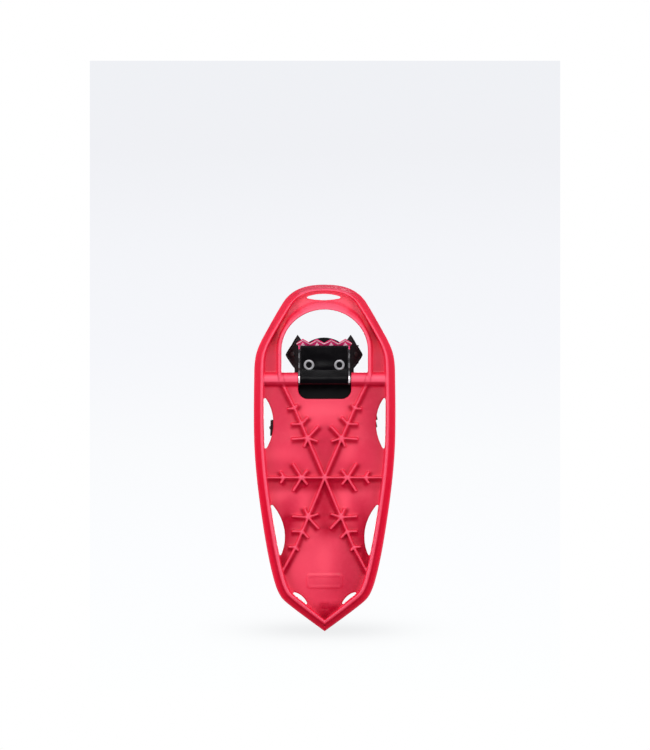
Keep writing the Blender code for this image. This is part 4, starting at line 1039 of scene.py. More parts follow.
def rolled_lip(n=72):
    """The lip round the toe hole: a plump roll at the sides, spreading into a
    broad slope towards the plate at the front."""
    steep = ((0.0, 11.8), (0.0, 2.0), (0.9, 0.9), (2.3, 0.5), (3.7, 0.9), (4.6, 2.2), (5.0, 8.4), (5.2, 11.8))
    broad = ((0.0, 11.8), (0.0, 2.0), (0.8, 0.8), (2.4, 0.7), (4.4, 1.7), (6.6, 4.0), (8.6, 8.0), (8.8, 11.8))
    front = ((0.0, 11.8), (0.0, 2.0), (0.8, 0.9), (2.6, 0.9), (5.4, 1.8), (8.0, 3.5), (10.2, 6.4), (10.4, 11.8))
    stations = [(-math.pi / 2, AXLE_Y - 2 - TOE_HOLE_Y)]
    loops = []
    for k in range(-1, n + 2):
        t = min(max(k / n, 0.0), 1.0)
        a = math.pi * t
        straight = (AXLE_Y - 2 - TOE_HOLE_Y) if k in (-1, n + 1) else 0.0
        up = math.sin(a)
        f0 = float(ease((up - 0.50) / 0.30))
        f1 = float(ease((up - 0.84) / 0.14))
        row = []
        for (g0, z0), (g1, z1), (g2, z2) in zip(steep, broad, front):
            g = (g0 * (1 - f0) + g1 * f0) * (1 - f1) + g2 * f1
            z = (z0 * (1 - f0) + z1 * f0) * (1 - f1) + z2 * f1
            row.append((-(TOE_HOLE_A + g) * math.cos(a), TOE_HOLE_Y + straight - (TOE_HOLE_B + g) * math.sin(a), z))
        loops.append(row)
    m = len(steep)
    verts = [v for row in loops for v in row]
    faces = [[i * m + j, i * m + (j + 1) % m, (i + 1) * m + (j + 1) % m, (i + 1) * m + j]
             for i in range(len(loops) - 1) for j in range(m)]
    faces += [list(range(m))[::-1], [(len(loops) - 1) * m + j for j in range(m)]]
    obj = solid("lip", verts, faces)
    fix_normals(obj)
    return obj


def fine_deck():
    """The moulding at full detail: the CAD shapes fused, then softened."""
    global STATIONS, INWARD, RIM, RIM_WIDTH
    STATIONS, INWARD = loop_stations(110, 13.0)
    edge = AXLE_Y - HOUSING_R - 0.2
    parts = []
    plate = plan("plate", [tuple(p) for p in inset_loop(10.2)], PLATE_Z0, PLATE_Z1)
    hole = ellipse_arc(TOE_HOLE_A, TOE_HOLE_B, TOE_HOLE_Y, edge, n=72)
    hole += [(NOTCH_X, edge)] + notch_path(12) + [(-NOTCH_X, edge)]
    cut(plate, plan("cut_hole", hole, 0, 20), plan("cut_slot", [(x * 1.06 - 1.1, -199.6 + (y + 199.8) * 0.93) for x, y in toe_slot(24)], 0, 20))
    for side in (1, -1):
        # the tail window's straight edge runs up to the rim itself
        a, b, n = np.array([42.2, 167.4]), np.array([20.0, 185.1]), np.array([0.624, 0.781])
        quad = [(side * u, v) for u, v in (a - 0.37 * n, b - 0.41 * n, b + 2.3 * n, a + 2.2 * n)]
        cut(plate, plan("cut_tail_edge", quad if side > 0 else quad[::-1], 4.3 + 0.1 * side, 17))
    for side in (1, -1):
        for window in side_windows(side):
            cut(plate, window)


    def channel(side):
        end, start = side * (AXLE_HALF + GAP), side * (NOTCH_X - 2)
        c = rod("bore", (start, AXLE_Y, AXLE_Z), (end, AXLE_Y, AXLE_Z), BORE_R, 32)
        return join(c, box("way", *sorted((start, end)), AXLE_Y - BORE_R, AXLE_Y + BORE_R, AXLE_Z, 24))
    cut(plate, channel(1), channel(-1))
    cut(plate, box("pocket", -5.6, 5.6, 180.0, 189.0, 5, PLATE_Z0 + 1.0))
    parts.append(plate)
    for side in (1, -1):
        # sill that closes each tail window on the rim's side
        parts.append(bar("sill", (side * 44.3, 166.9), (side * 18.7, 187.2), 3.8, 3.4, PLATE_Z1 - 0.3))
    # the crest as moulded: broader, with a rounder inner corner
    RIM = tuple((d + (0.9 if d > 9.2 and z < 17.3 else 0.0), z) for d, z in RIM)
    RIM_WIDTH = tuple((y, w + 0.05 * float(ease((y - 140.0) / 40.0))) for y, w in RIM_WIDTH)
    rim = make_rim()
    rim.name = "rim"
    # small drain hole through the very tip
    cut(rim, rod("tip_hole", (0, 209.4, -5), (0, 209.4, 9), 1.7, 16))
    parts.append(rim)
    inner = ellipse_arc(TOE_HOLE_A, TOE_HOLE_B, TOE_HOLE_Y, AXLE_Y - 2, n=72)
    outer = ellipse_arc(TOE_HOLE_A, TOE_HOLE_B, TOE_HOLE_Y, AXLE_Y - 2, n=72, grow=LIP_W)
    lip = rolled_lip()
    cut(lip, channel(1), channel(-1))
    parts.append(lip)
    for p, q in lip_links():
        link = round_bar("link", p, q, LIP_W - 0.4, (LIP_Z - 0.1, RIB_Z - 0.9), PLATE_Z0 + 1.5)
        cut(link, channel(1), channel(-1))
        parts.append(link)
    for side in (1, -1):
        tube = rod("tube", (side * NOTCH_X, AXLE_Y, AXLE_Z), (side * (wall_x(AXLE_Y) + 1.5), AXLE_Y, AXLE_Z), HOUSING_R, 48)
        cut(tube, box("flat", -100, 100, AXLE_Y - 20, AXLE_Y + 20, HOUSING_TOP, 30))
        x0, x1 = sorted((side * 57.2, side * (wall_x(-100) + 0.6)))
        join(tube, box("boss", x0, x1, -114.2, -80.8, PLATE_Z0 + 0.5, HOUSING_TOP))
        cut(tube, channel(side))
        parts.append(tube)
    for k, (p, q) in enumerate(flake_bars()):
        parts.append(round_bar("rib", p, q, RIB_W - 0.3, (RIB_Z - 0.2, RIB_Z - 0.2), PLATE_Z0 + 1.5))
    # plain raised panel with a sunk field, and top-side grip bars
    def lozenge(name, a, b, z0, z1, r=4.0):
        pts = []
        for sx, sy in ((1, 1), (-1, 1), (-1, -1), (1, -1)):
            start = {(1, 1): 0, (-1, 1): 90, (-1, -1): 180, (1, -1): 270}[(sx, sy)]
            for k in range(7):
                ang = math.radians(start + 90 * k / 6)
                pts.append((sx * (a - r) + r * math.cos(ang), 153.2 + sy * (b - r) + r * math.sin(ang)))
        return plan(name, pts, z0, z1)
    panel = lozenge("panel", 22.0, 8.4, PLATE_Z0 - 1.1, PLATE_Z0 + 1.0)
    cut(panel, lozenge("field", 19.6, 6.0, 0, PLATE_Z0 - 0.45, 2.6))
    parts.append(panel)
    parts.append(box("heel_base", -24.0, 24.0, 8.0, 58.0, PLATE_Z1 - 1.1, PLATE_Z1 + 0.35))
    for k in range(8):
        y = 11.6 + k * 6.15
        parts.append(box("grip", -22.5, 22.5, y, y + 2.6, PLATE_Z1 - 1.0, PLATE_Z1 + 1.2))
    for k in range(5):
        y = 84.0 + k * 13.0
        half = 30.0 - k * 2.2
        for side in (1, -1):
            parts.append(bar("grip", (side * 4.0, y), (side * half, y - 9.0), 2.4, PLATE_Z1 - 1.0, PLATE_Z1 + 0.9))
    deck = merge("deck_moulding", parts)
    voxel = 0.95
    bake(deck, ("REMESH", dict(mode="VOXEL", voxel_size=voxel * MM, use_smooth_shade=True)))
    bake(deck, ("SMOOTH", dict(factor=0.5, iterations=4)))
    faces = len(deck.data.polygons) * 2
    most = 235000
    if faces > most:
        bake(deck, ("DECIMATE", dict(ratio=most / faces)))
    # the broad flats keep enough points for their relief and tone
    bm = bmesh.new()
    bm.from_mesh(deck.data)
    for _ in range(5):
        long = [e for e in bm.edges if e.calc_length() > 2.8 * MM]
        if not long:
            break
        bmesh.ops.subdivide_edges(bm, edges=long, cuts=1)
        bmesh.ops.triangulate(bm, faces=[f for f in bm.faces if len(f.verts) > 3], quad_method="SHORT_EDGE")
    bm.to_mesh(deck.data)
    bm.free()
    deck.data.shade_smooth()
    co = np.empty(len(deck.data.vertices) * 3, np.float32)
    deck.data.vertices.foreach_get("co", co)
    co = co.reshape(-1, 3) / MM
    ys = np.linspace(TOE_Y, TAIL_Y, 400)
    walls = np.array([wall_x(y) for y in ys])
    room = np.interp(co[:, 1], ys, walls) - np.abs(co[:, 0])
    inset = edge_distance(co) / np.interp(co[:, 1], *np.array(RIM_WIDTH).T)
    normals = np.empty(len(co) * 3, np.float32)
    deck.data.vertices.foreach_get("normal", normals)
    under = ease((-normals.reshape(-1, 3)[:, 2] - 0.1) / 0.6)
    # painted highlight on the lowest crests of rim and ribs, where they face downwards
    high = ease((5.2 - co[:, 2]) / 2.6) * under
    flat = under * ease((co[:, 2] - 3.0) / 4.0)
    # painted shade: soft dark areas, and a shadow band on the tail side of each cross rib
    shade_mask = np.clip(areas(co[:, 0], co[:, 1], PAINTED_SHADE_AREAS) + rib_shadow(co[:, 0], co[:, 1], flake_bars()), 0, 1) * flat
    # painted light and shade over soft areas of the plate
    shade = np.clip(areas(co[:, 0], co[:, 1], PAINTED_LIGHT_AREAS), -1, 1) * flat
    # the smooth band in front of the toe hole gets painted light; there, and inward of the rim's inner wall, the
    # painted sheen stays where the surface tilts
    broad = ease((37.0 - np.abs(co[:, 0])) / 10.0) * ease((-176.0 - co[:, 1]) / 8.0)
    shade = np.clip(shade + 0.95 * broad, -1, 1)
    broad = np.maximum(broad, 0.62 * ease((inset - 12.4) / 1.2))
    x, y = co[:, 0], co[:, 1]
    # painted shade in the pockets beside the toe hole: no sheen there
    shaded_pocket = 0.85 * ease((np.abs(x) - 43.0) / 3.0) * ease((-y - 122.0) / 26.0) * ease((inset - 13.4) / 1.5) * flat
    shaded_pocket *= ease((y + 186.0) / 10.0)
    # painted highlight on the outer edge of the rim, and painted light on its flanks, growing towards the toe
    edge = np.maximum(0.40 * ease((2.9 - inset) / 2.0), 0.27 * np.clip((-y + 20.0) / 230.0, 0, 1) * (inset < 9.0))
    # painted shade on the rim's outer slope, stronger towards the tail
    shade_mask = np.maximum(shade_mask, 0.62 * ease((y - 10.0) / 130.0) * np.exp(-((inset - 7.3) / 1.7) ** 2) * (inset < 9.0))
    # painted shade in a line beside each lip link
    for p, q in lip_links():
        for side in (1, -1):
            p1, q1 = np.array(p, float), np.array(q, float)
            p1[0], q1[0] = side * abs(p1[0]), side * abs(q1[0])
            run = (q1 - p1) / np.linalg.norm(q1 - p1)
            off = np.abs((x - p1[0]) * run[1] - (y - p1[1]) * run[0])
            t = (x - p1[0]) * run[0] + (y - p1[1]) * run[1]
            shade_mask = np.maximum(shade_mask, 0.45 * np.exp(-((off - 3.3) / 0.9) ** 2) * ease(t / 3.0) * ease((np.linalg.norm(q1 - p1) + 1.0 - t) / 3.0))
    # painted shade behind the axle housing, on faces turned downwards
    behind = 0.85 * ease((co[:, 1] + 95.6) / 2.0) * ease((-87.6 - co[:, 1]) / 2.6) * ease((np.abs(co[:, 0]) - 27.0) / 3.0) * ease((inset - 13.2) / 1.5)
    shade_mask = np.maximum(shade_mask, behind * ease((-normals.reshape(-1, 3)[:, 2] + 0.3) / 0.6))
    for name, values in (("crest_highlight", high), ("painted_shade", shade_mask), ("tone", shade), ("broad", broad), ("shaded_pocket", shaded_pocket), ("edge", edge)):
        layer = deck.data.attributes.new(name, "FLOAT", "POINT")
        layer.data.foreach_set("value", values.astype(np.float32))
    mask = ease(room / 14.0) * ease((co[:, 1] + 74.0) / 22.0) * ease((176.0 - co[:, 1]) / 26.0)
    co[:, 2] += relief(co[:, 0], co[:, 1]) * mask
    co[:, 2] += lift_all(co[:, 1])
    deck.data.vertices.foreach_set("co", (co * MM).astype(np.float32).ravel())
    deck.data.update()
    return deck


deck = fine_deck()
take(deck, M_RED, 180)
place(deck, "deck_body", ["deck"], "moulded_red")

skin("axle_rod", M_ROD, "deck_body", 0.5, 2, 40)
for word in ("left", "right"):
    skin(f"keeper_{word}", M_PLASTIC, "deck_body", 0.55, 3, 40)
    for k in (1, 2):
        skin(f"keeper_screw_{word}_{k}", M_RIVET, "deck_body", 0.2, 2, 40)


# ================================================================== binding
def rounded_section(width, thick, r, n=4):
    pts = []
    for cx, cy, start in ((1, 1, 0), (-1, 1, 90), (-1, -1, 180), (1, -1, 270)):
        for k in range(n + 1):
            a = math.radians(start + 90 * k / n)
            pts.append((cx * (width / 2 - r) + r * math.cos(a), cy * (thick / 2 - r) + r * math.sin(a)))
    return pts


def pivot_strap():
    c = np.array([AXLE_Y, AXLE_Z])
    d = np.array([STRAP_BEND, LOWER_Z]) - c
    dist = np.linalg.norm(d)
    base, swing = math.atan2(d[1], d[0]), math.acos(LOOP_R / np.linalg.norm(d))
    start = base + swing
    if math.sin(start) > 0:
        start = base - swing
    start %= 2 * math.pi
    low = [(STRAP_FRONT + 3 * k, LOWER_Z) for k in range(10)]
    low = [p for p in low if p[0] < STRAP_BEND - 1.2] + [(STRAP_BEND - 1.2, LOWER_Z), (STRAP_BEND - 0.2, LOWER_Z - 0.2), (STRAP_BEND + 0.8, LOWER_Z - 0.7)]
    end = 2 * math.pi + math.pi / 2
    loop = [(c[0] + LOOP_R * math.cos(start + (end - start) * k / 40), c[1] + LOOP_R * math.sin(start + (end - start) * k / 40)) for k in range(41)]
    high = [(-100.0 - 4 * k, UPPER_Z) for k in range(1, 10)] + [(STRAP_FRONT, UPPER_Z)]
    pts = low + loop + high
    n = len(pts)
    cross = 26
    verts, m = [], 2 * (cross + 1)
    P = np.array(pts)
    T = np.gradient(P, axis=0)
    T /= np.linalg.norm(T, axis=1)[:, None]
    N = np.stack([T[:, 1], -T[:, 0]], 1)           # outer side of the loop
    for i in range(n):
        end_round = 1.0
        for sgn in (1, -1):
            row = []
            for k in range(cross + 1):
                f = -math.cos(math.pi * k / cross)
                x = f * STRAP_HALF
                edge = min(1.0, (STRAP_HALF - abs(x)) / 1.3)
                t = (STRAP_T / 2 - 1.1) + 1.1 * math.sqrt(max(0.0, 1 - (1 - edge) ** 2))
                bump = 0.0
                if i < len(low) + 2:
                    # the strap is drawn tight at the rivets and bellies between them
                    bump = 1.45 * math.exp(-((P[i, 0] + 113.0) / 4.4) ** 2) * math.exp(-(x / 11.0) ** 4)
                    bump += 0.35 * math.exp(-((P[i, 0] + 130.0) / 6.0) ** 2) * math.exp(-(x / 20.0) ** 4)
                off = sgn * t + bump
                row.append((x + BX, P[i, 0] + N[i, 0] * off, P[i, 1] + N[i, 1] * off))
            verts += row if sgn == 1 else row[::-1]
    faces = [[i * m + j, i * m + (j + 1) % m, (i + 1) * m + (j + 1) % m, (i + 1) * m + j] for i in range(n - 1) for j in range(m)]
    faces += [list(range(m))[::-1], [(n - 1) * m + j for j in range(m)]]
    obj = mesh_object("pivot_strap_skin", verts, faces)
    fix_normals(obj)
    return obj


strap = pivot_strap()
bake(strap, ("BEVEL", dict(width=0.9 * MM, segments=3, limit_method="ANGLE", angle_limit=math.radians(60))))
take(strap, M_URETHANE, 60)
place(strap, "binding", ["pivot_strap"], "black_urethane")



def crampon_skin():
    """The pressed plate: painted glints on its edges, a painted reflection of the
    red deck on the front row, painted shade on its side flanges, and a pressed
    gusset with a painted highlight at the root of each front tooth."""
    fold = np.array([-140.0, 12.6])
    lean = math.radians(55)
    fwd, out = np.array([-math.cos(lean), -math.sin(lean)]), np.array([math.sin(lean), -math.cos(lean)])
    obj = plain_copy("crampon")
    for mat in (M_STEEL, M_GLINT, M_RED_REFLECTION, M_GUSSET_HIGHLIGHT):
        obj.data.materials.append(mat)
    world = obj.matrix_world
    # front tooth faces turned downwards take the painted reflection of the red deck
    for poly in obj.data.polygons:
        c = (world @ poly.center) / MM
        poly.material_index = 2 if c.y < -141.0 and poly.normal.z < -0.3 else 0
    soften(obj, 0.38, 2, 28, 1)
    obj.data.materials.append(M_SHADED_STEEL)
    # rim-side flanges: painted red reflection at the front, painted glint at the axle, painted shade elsewhere
    for poly in obj.data.polygons:
        c = (world @ poly.center) / MM
        if poly.material_index != 2 and c.y > -141.0:
            rim_side = abs(c.x - BX) > 27.0
            if rim_side and c.y < -135.5:
                poly.material_index = 2
            elif rim_side and -105.0 < c.y < -92.5:
                poly.material_index = 1
            else:
                poly.material_index = 4 if rim_side else 0
    obj.data.shade_smooth()
    obj.data.set_sharp_from_angle(angle=math.radians(45))
    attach(obj, "binding")
    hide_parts("crampon")
    point = lambda u, b, t: (u, *(fold + fwd * b + out * (t + 0.9)))
    gussets = []
    for k in range(4):
        x = BX + (k - 1.5) * 17.6
        rows = [(x - 3.3, 1.2, -0.3), (x + 3.3, 1.2, -0.3), (x, 8.2, -0.3), (x - 1.2, 1.4, 1.1), (x + 1.2, 1.4, 1.1), (x, 6.6, 0.35)]
        g = mesh_object("gusset", [point(*r) for r in rows], [[0, 1, 2], [3, 5, 4], [0, 3, 4, 1], [1, 4, 5, 2], [2, 5, 3, 0]])
        fix_normals(g)
        gussets.append(soften(g, 0.22, 2))
    g = merge("crampon_gussets", gussets)
    # the gussets carry a pale pink painted highlight
    take(g, M_GUSSET_HIGHLIGHT, 40)
    place(g, "binding", slot="steel")
    # painted glint along the sharpened edge of the front row
    line = [(-34.5, 3.9), (-31.9, -0.3)][::-1]
    line = [(-34.2, 4.4)]
    for k in range(4):
        c = (k - 1.5) * 17.6
        line += [(c, 12.6), (c + 8.8, 4.3)]
    line = [(-(1.5 * 17.6 + 8.1), 4.6)] + line[1:-1] + [(1.5 * 17.6 + 8.1, 4.6)]
    strips = []
    for (u0, b0), (u1, b1) in zip(line[:-1], line[1:]):
        d = np.array([u1 - u0, b1 - b0])
        d /= np.linalg.norm(d)
        n = np.array([-d[1], d[0]])
        n = n if n[1] < 0 else -n
        ends = [np.array([u0, b0]) - d * 0.1, np.array([u1, b1]) + d * 0.1]
        foot = [(*(e + n * w), t) for e in ends for w, t in ((-0.05, -0.2), (0.12, 0.22), (0.75, 0.22), (1.0, -0.2))]
        g = mesh_object("edge", [point(BX + a, b, t) for a, b, t in foot],
                        [[0, 1, 2, 3], [7, 6, 5, 4], [0, 4, 5, 1], [1, 5, 6, 2], [2, 6, 7, 3], [3, 7, 4, 0]])
        fix_normals(g)
        strips.append(g)
    g = merge("crampon_edge_glint", strips)
    take(g, M_GLINT, 30)
    place(g, "binding", slot="steel")


crampon_skin()

for side, word in ((-1, "left"), (1, "right")):
    x = BX + side * RIVET_X
    low, high = LOWER_Z - STRAP_T / 2 - GAP, FOOT_Z1 + GAP
    prof = [(3.7, low - 0.2), (3.95, low - 0.8), (4.4, low - 1.2), (5.1, low - 1.3), (5.9, low - 1.05), (6.4, low - 0.6), (6.5, low - 0.15), (6.3, low),
            (4.2, low), (4.2, high), (6.3, high), (6.5, high + 0.15), (6.4, high + 0.6), (5.9, high + 1.05), (5.0, high + 1.3), (4.1, high + 1.25), (3.4, high + 0.85), (3.15, high + 0.25)]
    rivet = turned(f"rivet_{word}_skin", prof, (x, RIVET_Y, 0), (0, 0, 1), 48)
    take(rivet, M_RIVET, 50)
    place(rivet, "binding", [f"rivet_{word}"], "steel")

# sole plate: the CAD outline with rounded edges and raised grip ribs on top
foot = skin("foot_plate", M_SOLE, "binding", 0.6, 3, 40)
ribs = []
for k in range(11):
    y = -140.0 + k * 7.2
    if abs(y - RIVET_Y) < 9.5:
        spans = [(-9.5, 9.5)]
    else:
        spans = [(-24.0, 24.0)]
    if y > -70:
        continue
    for x0, x1 in spans:
        rib = box("rib", x0 + BX, x1 + BX, y - 1.1, y + 1.1, FOOT_Z1 - 0.3, FOOT_Z1 + 0.8)
        ribs.append(soften(rib, 0.35, 2))
grip = merge("foot_plate_grip", ribs)
take(grip, M_PLASTIC, 40)
place(grip, "binding", slot="black_plastic")


def wing_outline():
    pts = [(26.6, -142.0), (27.8, -146.2), (33.0, -153.4), (40.4, -140.2), (44.4, -134.0)]
    flat = [(wing_s(x), y) for x, y in pts]
    flat += [(wing_s(47.2), -128.3), (wing_s(43.4), -121.2), (wing_s(36.6), -111.3), (wing_s(36.6), -106.6),
             (wing_s(42.0), -103.6), (WING_TOP_S + 9.0, -100.5), (WING_TOP_S + 9.0, -81.5), (wing_s(42.0), -77.6), (wing_s(34), -76.0), (26.6, -76.0)]
    return flat


def wing_panel(side, word):
    sheet = plan("wing_sheet", wing_outline(), -WING_T / 2, WING_T / 2)
    # the edges are rounded
    soften(sheet, 0.7, 3, 40)
    bm = bmesh.new()
    bm.from_mesh(sheet.data)
    step = 2.2
    for s in np.arange(27.0, WING_TOP_S + 9, step):
        bmesh.ops.bisect_plane(bm, geom=bm.verts[:] + bm.edges[:] + bm.faces[:], dist=1e-7, plane_co=(s * MM, 0, 0), plane_no=(1, 0, 0))
    for y in np.arange(-150.0, -76.0, step * 1.5):
        bmesh.ops.bisect_plane(bm, geom=bm.verts[:] + bm.edges[:] + bm.faces[:], dist=1e-7, plane_co=(0, y * MM, 0), plane_no=(0, 1, 0))
    bmesh.ops.triangulate(bm, faces=bm.faces[:])
    for v in bm.verts:
        x, z = wing_point(v.co.x / MM, v.co.z / MM)
        v.co.x, v.co.z = (side * x + BX) * MM, z * MM
    if side < 0:
        bmesh.ops.reverse_faces(bm, faces=bm.faces[:])
    bm.to_mesh(sheet.data)
    bm.free()
    sheet.name = f"wing_{word}_skin"
    return sheet


def inset_outline(points, d):
    """The closed outline moved inwards by d."""
    P = np.array(points)
    area = 0.5 * np.sum(P[:, 0] * np.roll(P[:, 1], -1) - np.roll(P[:, 0], -1) * P[:, 1])
    sgn = 1 if area > 0 else -1
    out = []
    n = len(P)
    for i in range(n):
        a, b, c = P[i - 1], P[i], P[(i + 1) % n]
        e0, e1 = (b - a) / np.linalg.norm(b - a), (c - b) / np.linalg.norm(c - b)
        n0, n1 = np.array([-e0[1], e0[0]]) * sgn, np.array([-e1[1], e1[0]]) * sgn
        m = n0 + n1
        m /= np.linalg.norm(m)
        out.append(b + m * d / max(0.45, m @ n0))
    return np.array(out)


for side, word in ((-1, "left"), (1, "right")):
    wing = wing_panel(side, word)
    take(wing, M_WING, 45)
    place(wing, "binding", [f"wing_{word}"], "wing_black")
    # thread sewn round the panel, on its outer face
    line = inset_outline(wing_outline(), 3.0)
    line = [p for p in line]
    verts, faces, uvs = [], [], []
    pts = []
    for i in range(1, len(line) - 1):
        a, b = line[i], line[i + 1] if i + 1 < len(line) else line[0]
        span = np.linalg.norm(b - a)
        count = max(1, int(span / 3.2))
        for k in range(count):
            pts.append((a + (b - a) * (k + 0.14) / count, a + (b - a) * (k + 0.86) / count))
    # none where the heel strap swings past
    reach = lambda q: math.hypot(q[1] - HEEL_PIVOT[0], wing_point(q[0], 0.0)[1] - HEEL_PIVOT[1])
    pts = [(a, b) for a, b in pts if min(reach(a), reach(b)) > 24.0]
    for face in (-1, 1):
        for a, b in pts:
            base = len(verts)
            for f, g in ((0, 0.3), (0.15, 0.85), (0.5, 1), (0.85, 0.85), (1, 0.3)):
                q = a + (b - a) * f
                e = (b - a) / np.linalg.norm(b - a)
                for c in range(6):
                    ang = 2 * math.pi * c / 6
                    s_off = -e[1] * math.cos(ang) * 0.32 * g
                    y_off = e[0] * math.cos(ang) * 0.32 * g
                    off = face * WING_T / 2 + math.sin(ang) * 0.28 * g
                    x, z = wing_point(q[0] + s_off, off)
                    verts.append((side * x + BX, q[1] + y_off, z))
                    uvs.append((c * 0.0002, f * 0.0025))
            for i in range(4):
                for c in range(6):
                    faces.append([base + i * 6 + c, base + i * 6 + (c + 1) % 6, base + (i + 1) * 6 + (c + 1) % 6, base + (i + 1) * 6 + c])
            faces.append([base + c for c in range(6)][::-1])
            faces.append([base + 24 + c for c in range(6)])
    thread = mesh_object(f"wing_{word}_thread", verts, faces, uvs)
    fix_normals(thread)
    take(thread, M_TONE, 60)
    place(thread, "binding", slot="webbing")
    for k in (1, 2):
        skin(f"wing_screw_{word}_{k}", M_RIVET, "binding", 0.2, 2, 40)
    skin(f"toe_rivet_{word}", M_PLASTIC, "binding", 0.25, 2, 40)
    skin(f"heel_pivot_{word}", M_RIVET, "binding", 0.3, 2, 40)


# ----------------------------------------------------- straps over the boot
def strap_paths(x_from, s_to, hip, shoulder, crown, s_pin):
    low, high = np.array(hip), np.array(shoulder)
    along = (high - low) / np.linalg.norm(high - low)
    out = -np.array([-along[1], along[0]])
    if out[0] < 0:
        out = -out
    left = strap_side(x_from, s_to, [])
    rise = catmull(left[-2:] + [tuple(low)] + [tuple(low + along * 3)], 8)[8:]
    over = catmull([tuple(high - along * 4), tuple(high), tuple(crown[0]), (0, crown[1])], 10)[10:]
    dense = [np.array(wing_point(s, OFF)) for s in np.linspace(wing_s(x_from), s_to, 24)]
    half = dense[:-1] + [np.array(p) for p in rise] + [np.array(p) for p in over]
    mirror = [np.array([-p[0], p[1]]) for p in half]
    top = [np.array(p) for p in over][::-1][1:]
    tail = low + along * (s_pin - 13.0)
    run = [high - along * k for k in np.linspace(2, np.linalg.norm(high - tail), 14)]
    base = low + along * s_pin
    drop = WEB_T / 2 + GAP + 1.6 + GAP + WEB_T / 2
    under = lambda a: base + along * a - out * drop
    anchor = dense[:-1] + [np.array(p) for p in catmull([left[-2], left[-1], tuple(under(-13.0)), tuple(under(-10.0))], 8)[8:]]
    anchor += [under(-7), under(-4), under(-1), under(1.5)]
    return mirror + top + run, anchor


def boot_strap(name, y, width, args):
    path, anchor = strap_paths(*args)
    for piece, pts in ((f"{name}_strap", path), (f"{name}_anchor", anchor)):
        band = Band([(p[0] + BX, y, p[1]) for p in pts], (0, 1, 0))
        # keep the outward side pointing away from the boot
        centre = np.array([BX, y, 30.0])
        mid = len(band.p) // 2
        if (band.p[mid] - centre) @ band.n[mid] < 0:
            band.n = -band.n
        obj = webbing(piece + "_skin", band, width, WEB_T)
        take(obj, M_WEB, 60)
        place(obj, "binding", [piece], "webbing")
        half = width / 2 - 2.4
        rows = []
        if piece.endswith("strap"):
            rows += box_rows(3.0, 10.0, half)
            rows += [((band.length - 2.5, -half), (band.length - 2.5, half))]
        else:
            rows += box_rows(3.0, 9.0, half)
        sewn = stitches(piece + "_thread", band, rows, WEB_T / 2 + 0.05)
        take(sewn, M_THREAD, 60)
        place(sewn, "binding", slot="webbing")
    skin(f"{name}_buckle", M_PLASTIC, "binding", 0.45, 3, 40)
    skin(f"{name}_buckle_pin", M_RIVET, "binding", 0.25, 2, 40)
    skin(f"{name}_buckle_rivet", M_RIVET, "binding", 0.2, 2, 40)
    skin(f"{name}_lever", M_GREY, f"{name}_lever_body", 0.45, 3, 40)


boot_strap("toe", TOE_STRAP_Y, TOE_STRAP_W, (33.6, wing_s(41.4), (40.6, 43.5), (21.5, 69.5), ((11.0, 74.6), 75.6), 11.0))
boot_strap("instep", INSTEP_Y, INSTEP_W, (38.0, WING_TOP_S + 7.6, (43.4, 60.5), (22.0, 92.0), ((11.5, 98.0), 99.2), 14.0))

# --------------------------------------------------------------- heel strap
half_plan = catmull(HEEL_PLAN, 10)


def heel_z(y):
    return HEEL_PIVOT[1] + (y - HEEL_PIVOT[0]) * HEEL_RISE


heel_path = [(-p[0] + BX, p[1], heel_z(p[1])) for p in half_plan[:-1]]
heel_path += [(p[0] + BX, p[1], heel_z(p[1])) for p in half_plan[::-1]]
heel_band = Band(heel_path, (0, 0, 1))
mid = len(heel_band.p) // 2
if (heel_band.p[mid] - np.array([0, 0, 50.0])) @ heel_band.n[mid] < 0:
    heel_band.n = -heel_band.n
heel = webbing("heel_strap_skin", heel_band, HEEL_W, WEB_T)
take(heel, M_WEB, 60)
place(heel, "heel_body", ["heel_strap"], "webbing")
L = heel_band.length
heel_rows = box_rows(14.0, 21.0, 6.4) + box_rows(L - 21.0, L - 14.0, 6.4)
for a, b in ((0.425, 0.575),):
    heel_rows += [((L * a, -7.2), (L * b, -7.2)), ((L * a, 7.2), (L * b, 7.2))]
sewn = stitches("heel_strap_thread", heel_band, heel_rows, WEB_T / 2 + 0.05)
take(sewn, M_THREAD, 60)
place(sewn, "heel_body", slot="webbing")

# heel pad: soft rubber with a rounded edge and grip ribs facing the boot
pad_pts = []
for i in range(3, len(heel_path) - 3):
    p, a, b = (np.array(v) for v in (heel_path[i], heel_path[i - 1], heel_path[i + 1]))
    if p[1] < 44.0:
        continue
    t = (b - a) / np.linalg.norm(b - a)
    inward = np.array([t[1], -t[0], 0.0])
    pad_pts.append(p + inward / np.linalg.norm(inward) * (WEB_T / 2 + GAP + 2.0))
pad_band = Band(pad_pts, (0, 0, 1))
mid = len(pad_band.p) // 2
if (pad_band.p[mid] - np.array([0, 0, 50.0])) @ pad_band.n[mid] > 0:
    pad_band.n = -pad_band.n                        # towards the boot


